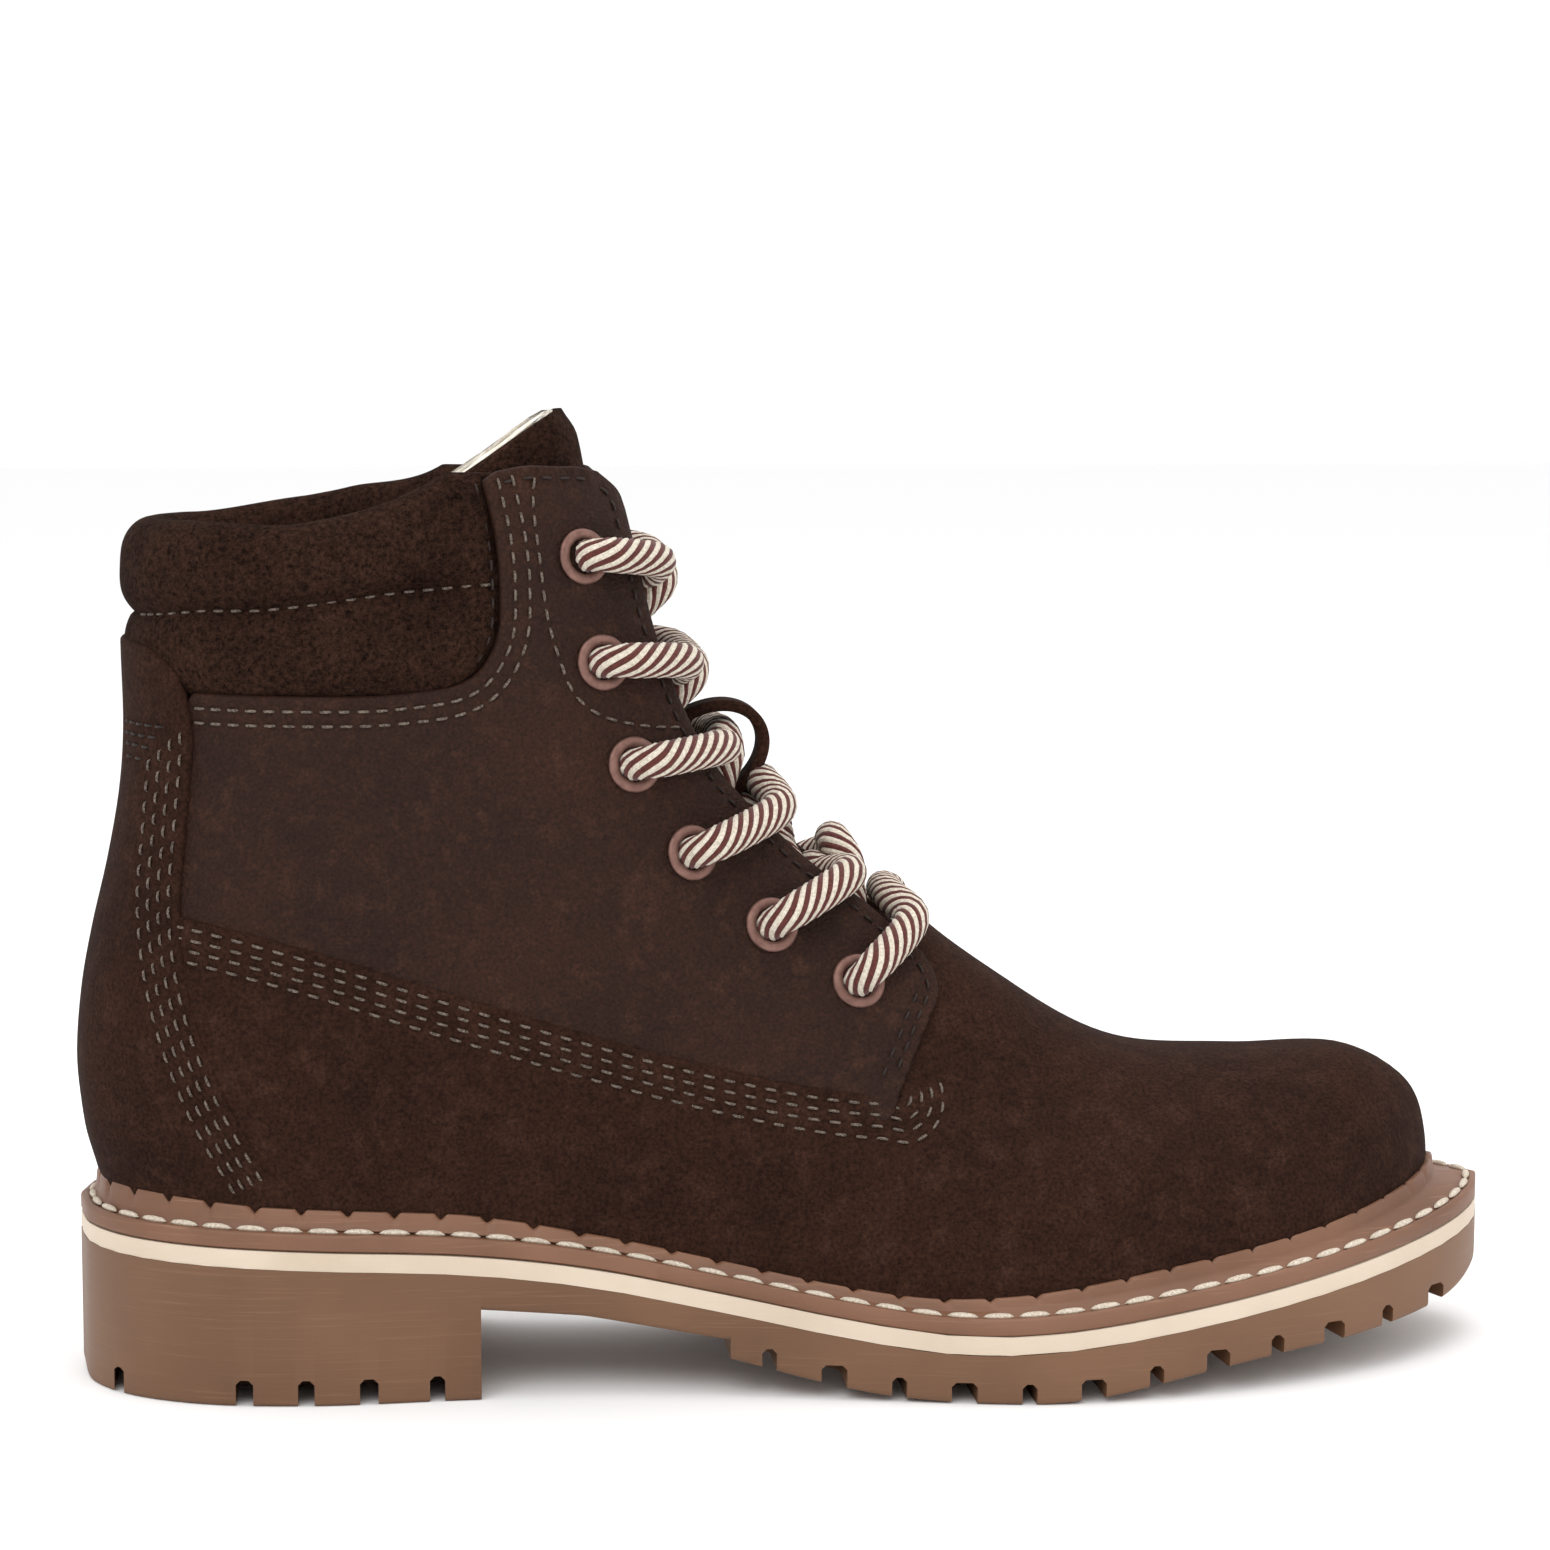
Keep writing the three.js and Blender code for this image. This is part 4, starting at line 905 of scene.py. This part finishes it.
def tongue_layer(name, look, slot, node, shift, thick, out):
    """One layer of the tongue: shift is its depth behind the face, and out how far it stands past
    the edge."""
    edge = tongue_outline()
    us = np.linspace(edge[0, 0], edge[-1, 0], 170)
    half = np.interp(us, edge[:, 0], np.pi - edge[:, 1])
    top_u = us[-1]
    across = np.linspace(-1, 1, 61)
    vertices = []
    for u, w_half in zip(us, half):
        w = across * (w_half + out / CHART[0])
        u_row = u + out / 900 * smooth(u, top_u - 0.1, top_u)
        front = tongue_depth(w, u) + shift
        swell = 0.3 * (1 - np.abs(across) ** 6)
        end = smooth(u, top_u - 0.012, top_u + 0.002)
        past = np.maximum(np.abs(across) - 0.93, 0) / 0.07
        rim = thick / 2 * (1 - np.sqrt(np.clip(1 - past ** 2, 0, 1)))
        rim = np.maximum(rim, end * thick / 2 * 0.95)
        tufts = 0
        if look == "pile":
            tufts = 0.2 * np.sin(across * 37 + u * 91) * np.sin(across * 53 - u * 140)
            tufts = tufts + rng.normal(0, 0.16, len(w))
        outer = raised(u_row, w + np.pi, front + swell - rim + tufts)
        inner = raised(u_row, w + np.pi, front - thick + rim - tufts)
        vertices.append(np.vstack([outer, inner[::-1]]))
    vertices = np.array(vertices)
    faces = capped_faces(*vertices.shape[:2], flip=True)
    piece = build(name, vertices.reshape(-1, 3), faces, look, body=None, slot=slot, replaces=[node])
    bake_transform(piece)


def tongue():
    """The padded suede tongue and its pile backing, which shows past the edge."""
    tongue_layer("tongue_shell", "suede", "suede", "tongue", shift=0.0, thick=3.2, out=0.0)
    tongue_layer("tongue_pile", "pile", "fleece", "tongue_lining", shift=-2.6, thick=2.4, out=0.6)

# ---- Lining ----
PILE_DEPTH = -7.4


def shaft_pile():
    """Sherpa inside the shaft, from the collar down to the footbed, with its tufts standing up."""
    v = np.linspace(-2.36, 2.36, 190)
    shares = np.linspace(0, 1, 96)
    grid = np.zeros((len(v), len(shares), 3))
    low = sole_top(last(0.0, v)[:, 0]) + 9
    high = follow(COLLAR_TOP, last(0.9, v)[:, 0]) - 15
    for j, share in enumerate(shares):
        tufts = 0.55 * np.sin(v * 61 + share * 37) * np.sin(share * 83 - v * 22) + rng.normal(0, 0.3, len(v))
        grid[:, j] = raised(row_at(v, mix(low, high, share)), v, PILE_DEPTH + tufts)
    build("shaft_pile", grid.reshape(-1, 3), grid_faces(*grid.shape[:2]), "pile", slot="fleece",
          replaces=["shaft_lining"])


def footbed_pile():
    low, high = (np.array(corner) * 1000 - ORIGIN * 1000 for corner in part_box("footbed"))
    xs = low[0] + 1.8 + (high[0] - low[0] - 2.8) * (1 - np.cos(np.linspace(0, np.pi, 150))) / 2
    across = np.linspace(-1, 1, 41)
    rows = []
    for x in xs:
        along = (x - low[0]) / (high[0] - low[0]) * (TOE_X - 5) + 4.8
        outer, inner = (max(float(upper_width(0.0, along, sole_top(along), side)) - 10, 0.6)
                        for side in SIDES.values())
        y = centre_line(x) + np.where(across < 0, outer, inner) * across
        bottom = np.full(41, sole_top(x) + 3.05)
        flank = np.abs(across) ** 8
        top = sole_top(x) + 8 - 0.9 * flank + rng.normal(0, 0.18, 41) * (1 - flank)
        faces_up, faces_down = (np.stack([np.full(41, x), y, z], -1) for z in (top, bottom))
        rows.append(np.vstack([faces_up, faces_down[::-1]]))
    grid = np.array(rows)
    build("footbed_pile", grid.reshape(-1, 3), capped_faces(*grid.shape[:2], flip=True), "pile",
          body="footbed", slot="fleece", replaces=["footbed"], sharp=60)

# ---- Sole ----
def sole_edge(v):
    x = SOLE_LENGTH * (1 - np.cos(v)) / 2
    side = np.where(v < 0, -1, 1)
    return np.stack([x, centre_line(x) + side * sole_width(x, side) * (np.abs(np.sin(v)) > 1e-6)], -1)


def even_turns(pitch):
    """Turns v at an even pitch round the sole's edge."""
    v = np.linspace(-np.pi, np.pi, 4001)
    along = lengths_along(sole_edge(v))
    count = int(round(along[-1] / pitch))
    at = np.arange(count) * along[-1] / count
    return np.interp(at, along, v), at, along[-1]


RIM_HEIGHTS = np.array([(0, 5.0), (13, 4.9), (35, 3.9), (76, 3.8), (100, 2.7), (125, 2.5), (150, 2.3),
                        (172, 2.4), (191, 2.7), (222, 3.6), (257, 3.8), (290, 4.2)])


def swept(name, look, profile, pitch=0.9, sharp=35, **how):
    """A closed profile swept round the sole: profile gives, at each station, (inset, rise) arrays."""
    v, along, total = even_turns(pitch)
    edge = sole_edge(v)
    foot = last(0.0, v)[:, :2]
    toward = unit(foot - edge)
    insets, rises = profile(edge[:, 0], np.linalg.norm(foot - edge, axis=1), along, total)
    flat_part = edge[:, None] + toward[:, None] * insets[..., None]
    grid = np.dstack([flat_part, sole_top(edge[:, 0])[:, None] + rises])
    faces = grid_faces(*grid.shape[:2], closed_rows=True, closed_columns=True, flip=True)
    build(name, grid.reshape(-1, 3), faces, look, sharp=sharp, **how)


def columns_of(count, *columns):
    return np.stack([np.broadcast_to(np.asarray(c, float), (count,)) for c in columns], -1)


NOTCH_PITCH, NOTCH_HALF = 9.5, 1.25


def welt():
    def profile(x, reach, along, total):
        notches = round(total / NOTCH_PITCH)
        from_notch = np.abs((along / total * notches) % 1 - 0.5) * NOTCH_PITCH
        notch = np.clip(1 - from_notch / NOTCH_HALF, 0, 1) ** 0.8
        rim = follow(RIM_HEIGHTS, x) * (1 - 0.34 * notch)
        lean = 0.25 * notch
        base = np.maximum(reach - 2.3, 1.8)
        insets = columns_of(len(x), 0.5, 0.0, 0.0, 0.25, 0.9, 1.3, 1.8, 2.4, 2.9, base + 0.2, base + 0.75,
                            base + 1.0 + lean, base + 1.35 + lean, base + 2.0, base + 2.7, base + 2.8,
                            base + 2.9)
        rises = columns_of(len(x), -3.55, -3.2, -0.75, -0.2, 0.0, -0.12, -0.45, -0.45, -0.1, 0.35, 1.1,
                           rim * 0.82, rim - 0.05, rim, rim * 0.9, 0.0, -3.55)
        return insets, rises
    swept("welt_strip", "welt", profile, pitch=0.55, slot="gum_rubber", replaces=["welt"], sharp=50)


def midsole():
    def profile(x, reach, along, total):
        return (columns_of(len(x), 8, 0.5, 0.12, 0.02, 0.02, 0.12, 0.5, 8),
                columns_of(len(x), -3.75, -3.75, -3.8, -4.3, -6.7, -7.25, -7.3, -7.3))
    swept("midsole_strip", "cream", profile, slot="cream_rubber", sharp=60)


def welt_stitches():
    """Lens-shaped lockstitches in the welt's groove."""
    v, along, total = even_turns(0.4)
    edge = sole_edge(v)
    toward = unit(last(0.0, v)[:, :2] - edge)
    groove = np.column_stack([edge + toward * 2.15, sole_top(edge[:, 0]) - 0.05])
    count, sides = round(total / 7.1), 8
    shares = np.linspace(-1, 1, 9)
    size = np.sqrt(np.clip(1 - shares ** 2, 0, 1)) * 0.9 + 0.1
    up = np.tile([0, 0, 1.0], (len(shares), 1))
    vertices, faces = [], []
    for k in range(count):
        path = sample(((k + 0.5) * total / count + shares * 3.05) % total, along, groove)
        across = unit(np.cross(unit(np.gradient(path, axis=0)), up))
        faces += capped_faces(len(shares), sides, k * len(shares) * sides)
        vertices.append(rings(path + up * 0.22 * size[:, None], across, up, 0.78 * size, 0.66 * size, sides))
    build("welt_stitches", np.vstack(vertices), faces, "welt_thread")


HEEL_SLOTS = [(8.6, 2.0), (33.6, 3.4), (45.6, 3.2), (57.8, 3.6), (71.1, 3.0)]


def section_ring(x, low, high):
    """One cross-section of the sole, with its lower edges rounded."""
    at = np.clip(x, 0.02, SOLE_LENGTH - 0.02)
    left = centre_line(x) - max(float(sole_width(at, -1)), 0.05)
    right = centre_line(x) + max(float(sole_width(at, 1)), 0.05)
    r = min(1.1, (right - left) / 4)
    arc = [(0, r), (0.13 * r, 0.5 * r), (0.5 * r, 0.13 * r), (r, 0)]
    ring = [(x, left, high)] + [(x, left + a, low + b) for a, b in arc]
    return ring + [(x, right - a, low + b) for a, b in reversed(arc)] + [(x, right, high)]


HEEL_BREAST, ARCH_END, SLOT_PITCH = 79.7, 128.5, 12.5


def sole_bottom(x):
    if x <= HEEL_BREAST:
        return 2.6 * (1 - math.sqrt(max(1 - max(1 - x / 3.2, 0) ** 2, 0)))
    if x < ARCH_END:
        return float(follow(ARCH_LINE, x))
    return float(max(follow(TREAD_LINE, x), 0))


def slot_boxes():
    """Centre, width, length, height and turn of each box that is cut from the sole."""
    boxes = []
    for x, wide in HEEL_SLOTS:
        for side in SIDES.values():
            edge = float(centre_line(x) + side * sole_width(x, side))
            boxes.append(((x, edge - side * 6, 0), wide, 20, 5.2, 0))
    for i, x in enumerate(np.arange(136, 282, SLOT_PITCH)):
        for side in SIDES.values():
            edge = float(centre_line(x) + side * sole_width(x, side))
            turn = -side * 0.25 * float(smooth(x, 174, 290))
            boxes.append(((x, edge - side * 6, sole_bottom(x)), 5.0 if i % 2 else 2.9, 17, 4.2, turn))
        if 150 < x < 262:
            between = x + 6.2
            boxes.append(((between, float(centre_line(x)), sole_bottom(between)), 4.2, 34, 3.4, 0))
    return boxes + [((x, 0, 0), 3.6, 26, 4.2, 0) for x in (34, 46, 58, 70)]


def slot_tool():
    """All the slots in one mesh, each a bar with its two upper corners cut off."""
    vertices, faces = [], []
    for (x, y, z), wide, long, deep, turn in slot_boxes():
        corner = min(0.9, wide / 3)
        outline = [(-wide / 2, -4), (wide / 2, -4), (wide / 2, deep - corner), (wide / 2 - corner, deep),
                   (-wide / 2 + corner, deep), (-wide / 2, deep - corner)]
        first = len(vertices)
        for end in (-long / 2, long / 2):
            for a, b in outline:
                vertices.append((x + a * math.cos(turn) - end * math.sin(turn),
                                 y + a * math.sin(turn) + end * math.cos(turn), z + b))
        faces += capped_faces(2, 6, first, flip=True)
    return build("slot_tool", vertices, faces, "gum", body=None)


def outsole():
    """One moulding: heel block, arch and forefoot lugs, with the slots cut through its edge."""
    xs = list(SOLE_LENGTH / 2 * (1 - np.cos(np.linspace(0, np.pi, 260))))
    xs += [at + step for at in (HEEL_BREAST, ARCH_END) for step in (-0.01, 0.01)]
    sections = np.array([section_ring(x, sole_bottom(x), float(sole_top(x)) - 7.4) for x in sorted(xs)])
    faces = capped_faces(*sections.shape[:2])
    body = build("outsole_moulding", sections.reshape(-1, 3), faces, "gum", slot="gum_rubber",
                 replaces=["outsole"])
    tool = slot_tool()
    cut = body.modifiers.new("slots", "BOOLEAN")
    cut.operation = "DIFFERENCE"
    cut.object = tool
    cut.solver = "EXACT"
    cut.use_self = True
    finished = bpy.data.meshes.new_from_object(body.evaluated_get(bpy.context.evaluated_depsgraph_get()))
    body.modifiers.clear()
    body.data = finished
    bpy.data.objects.remove(tool)
    finished.set_sharp_from_angle(angle=math.radians(38))

# ---- Eyelets, lace and keeper ----
def eyelet_places():
    places = {}
    for name, side in SIDES.items():
        u, v = locate(EYELETS, side).T
        parts = zip(u, v, FACING_TURNS, last(u, v), last_normal(u, v))
        places[name] = [dict(zip(("u", "v", "edge", "place", "out"), part)) for part in parts]
    return places


SPOTS = eyelet_places()
EYELET_TOP, EYELET_BOTTOM = 1.0, -2.9
LACE = 3.0


EYELET_PROFILE = [(3.35, -2.9), (4.7, -2.9), (4.7, -2.1), (4.0, -2.1), (4.0, 0.1), (5.35, 0.1), (5.5, 0.35),
                  (5.4, 0.7), (5.05, 0.95), (4.3, 1.02), (3.75, 0.95), (3.45, 0.7), (3.35, 0.2)]


def eyelets():
    sides = 40
    turns = np.arange(sides) * 2 * math.pi / sides
    ring = [Vector((r * math.cos(turn), r * math.sin(turn), height))
            for r, height in EYELET_PROFILE for turn in turns]
    faces = grid_faces(len(EYELET_PROFILE), sides, closed_rows=True, closed_columns=True, flip=True)
    for name, spots in SPOTS.items():
        for number, spot in enumerate(spots, 1):
            upright = Vector((0, 0, 1)).rotation_difference(Vector(spot["out"])).to_matrix()
            vertices = np.array([upright @ point for point in ring]) + spot["place"]
            build(f"eyelet_{name}_{number}_shell", vertices, faces, "copper", slot="antique_copper",
                  replaces=[f"eyelet_{name}_{number}"], sharp=50)


RIDGE_ROWS = locate([(115.5, 168), (121, 150), (127.5, 133), (136, 121.5), (150.5, 108), (160.2, 99.6)],
                    1)[:, 0]
BEND = LACE + 0.35


def offset_point(u, v, depth):
    return raised(np.array([u]), np.array([v]), np.array([float(depth)]))[0]


def rim_turn(spot, target, face):
    """A lace turns about an eyelet's rim, outside (1) or inside (-1), towards a target."""
    towards = target - spot["place"]
    towards = unit(towards - spot["out"] * np.dot(towards, spot["out"]))
    level = EYELET_TOP if face > 0 else EYELET_BOTTOM
    return [spot["place"] + towards * BEND * (1 - math.cos(turn))
            + spot["out"] * (level + face * BEND * math.sin(turn)) for turn in np.radians([0, 45, 90])]


OVER_LEG = [(1.08, -6.8), (0.8, -6.8), (0.55, -4), (0.36, -1), (0.15, 0), (-0.2, 0.2), (-0.7, 2),
            (-1.1, 4.3)]
UNDER_LEG = [(1.08, -6.8), (0.6, -7), (0.2, -6.8), (-0.2, -6.6), (-0.42, -5.2), (-0.7, -0.6), (-1.1, 4.3)]
CROSSING_SHARES = {1: 0.38, 2: 0.45, 3: 0.45, 4: 0.2, 5: 0.15}


def leg(start, finish, ridge_u, route):
    """From inside one eyelet, over the ridge, to the outside of another; route holds shares of the
    way from the ridge to a facing's edge, with depths."""
    side = np.sign(start["v"])
    middle = []
    for share, depth in route:
        end = start if share > 0 else finish
        angle = abs(share) * end["edge"]
        v = (side if share > 0 else -side) * (np.pi - angle)
        u = mix(ridge_u, end["u"], (angle / (np.pi - abs(end["v"]))) ** 1.3)
        middle.append(offset_point(u, v, depth))
    return rim_turn(start, middle[0], -1) + middle + rim_turn(finish, middle[-1], 1)[::-1]


def lace_run(first):
    other = "medial" if first == "lateral" else "lateral"
    points = []
    for row in range(5, 0, -1):
        a, b = (first, other) if row % 2 else (other, first)
        on_top = (b if row == 4 else a) == "lateral"
        crossing = mix(RIDGE_ROWS[row - 1], RIDGE_ROWS[row], CROSSING_SHARES[row])
        points += leg(SPOTS[a][row], SPOTS[b][row - 1], crossing, OVER_LEG if on_top else UNDER_LEG)
    return points


def lace_route():
    lateral, medial = (SPOTS[name][5] for name in SIDES)
    bar = []
    for angle, depth in ((0.5, 3.6), (0.2, -0.8), (-0.2, -0.8), (-0.5, 3.6)):
        u = mix(RIDGE_ROWS[5], lateral["u"], abs(angle) / (np.pi - abs(lateral["v"])))
        bar.append(offset_point(u, np.sign(-angle) * (np.pi - abs(angle)), depth))
    return (lace_run("lateral")[::-1] + rim_turn(lateral, bar[0], 1) + bar
            + rim_turn(medial, bar[-1], 1)[::-1] + lace_run("medial"))


STRANDS, LEAD = 14, 20.5


def rope(name, points, radius, **how):
    """A round lace: strands wound round it, cream and red in turn, each a rounded rib."""
    line = resample(spline(points, np.linspace(0, 1, len(points) * 10)), 0.8)
    holes = [spot["place"] for spots in SPOTS.values() for spot in spots]
    size = radius + 0.32 * smooth(nearest(line, holes), 3.5, 6.5)
    way = unit(np.gradient(line, axis=0))
    along = lengths_along(line)
    across = unit(np.cross([0, 0, 1.0], way[0]))
    per_strand = 4
    count = STRANDS * per_strand
    column = np.arange(count)
    vertices = []
    for i, point in enumerate(line):
        across = unit(across - way[i] * np.dot(across, way[i]))
        other = np.cross(way[i], across)
        angle = column * 2 * np.pi / count - 2 * np.pi * along[i] / LEAD
        rib = np.tile([-0.16, 0.03, 0.1, 0.03], STRANDS) + 0.05 * np.sin(2 * np.pi * along[i] / 1.7 + column)
        flat_part, tall_part = np.cos(angle) * (size[i] + rib), np.sin(angle) * (size[i] + rib)
        vertices.append(point + across * flat_part[:, None] + other * tall_part[:, None])
    stripes = np.append(np.tile(column // per_strand % 2, len(line) - 1), [0, 0])
    piece = build(name, np.vstack(vertices), capped_faces(len(line), count), None, slot="lace",
                  looks=["cream_yarn", "red_yarn"], index=stripes, **how)
    return piece, line


TUCK = [(93.5, 158.5), (92.5, 150), (94, 139), (98.5, 126), (104, 115.5), (111, 106), (119, 97.5),
        (127, 90), (134.5, 83.6)]


def laces():
    rope("lace_rope", lace_route(), 3.1, replaces=["lace"])
    for name, side in SIDES.items():
        uv = locate(TUCK, side)
        points = list(raised(uv[:, 0], uv[:, 1], np.full(len(uv), -6.2)))
        route = rim_turn(SPOTS[name][0], points[0], -1) + points
        route[0] = route[0] + unit(route[1] - route[0]) * 0.3
        piece, line = rope(f"lace_end_{name}_rope", route, 2.85, replaces=[f"lace_end_{name}"])


def keeper():
    """The leather loop on the tongue that a crossing of the lace runs through."""
    u = float(RIDGE_ROWS[2] + RIDGE_ROWS[3]) / 2
    out = last_normal(np.array([u]), np.array([np.pi]))[0]
    along = np.array([-out[2], 0, out[0]])
    across = np.cross(along, out)
    centre = offset_point(u, np.pi, 0) - along * 1.2
    foot, top, inner, thick, wide = -9.6, 6.3, 8.2, 2.3, 8.4
    angles = np.linspace(0, np.pi, 49)
    arch = np.stack([(inner + thick / 2) * np.cos(angles),
                     foot + (top - foot + thick / 2) * np.sin(angles) ** 0.75], -1)
    way = unit(np.gradient(arch, axis=0))
    square = np.stack([way[:, 1], -way[:, 0]], -1)
    section = [(-0.5, -0.3), (-0.5, 0.3), (-0.46, 0.5), (0.46, 0.5), (0.5, 0.3), (0.5, -0.3), (0.46, -0.5),
               (-0.46, -0.5)]
    vertices = []
    for place, away in zip(arch, square):
        for w, t in section:
            a, b = place + away * t * thick
            vertices.append(centre + along * a + out * b + across * w * wide)
    build("lace_keeper_loop", vertices, capped_faces(len(arch), len(section)), "nubuck", body="tongue",
          slot="nubuck", replaces=["lace_keeper"], sharp=40)

# ---- Parts kept from the CAD model ----
KEPT = {"midsole": "cream", "bottom_filler": "board", "shank": "steel", "insole_board": "board",
        "toe_puff": "board", "heel_counter": "board", "vamp_lining": "pile", "aglet_lateral": "tip",
        "aglet_medial": "tip"}


def finish_kept():
    for node, look in KEPT.items():
        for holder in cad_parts[node].material_slots:
            holder.material = LOOKS[look]


def floor():
    mesh = bpy.data.meshes.new("floor")
    reach = 6
    corners = [(-reach, -reach, 0), (reach, -reach, 0), (reach, reach, 0), (-reach, reach, 0)]
    mesh.from_pydata(corners, [], [(0, 1, 2, 3)])
    look = Look("pale_floor", 0.9, specular=0.1)
    look.shader.inputs["Base Color"].default_value = (0.95, 0.95, 0.95, 1)
    mesh.materials.append(look.material)
    ground = bpy.data.objects.new("floor", mesh)
    bpy.context.collection.objects.link(ground)


laces()
vamp()
for quarter_name, quarter_side in SIDES.items():
    quarter(quarter_name, quarter_side)
backstay()
stitching()
collar()
tongue()
shaft_pile()
footbed_pile()
welt()
midsole()
welt_stitches()
outsole()
eyelets()
keeper()
finish_kept()
floor()
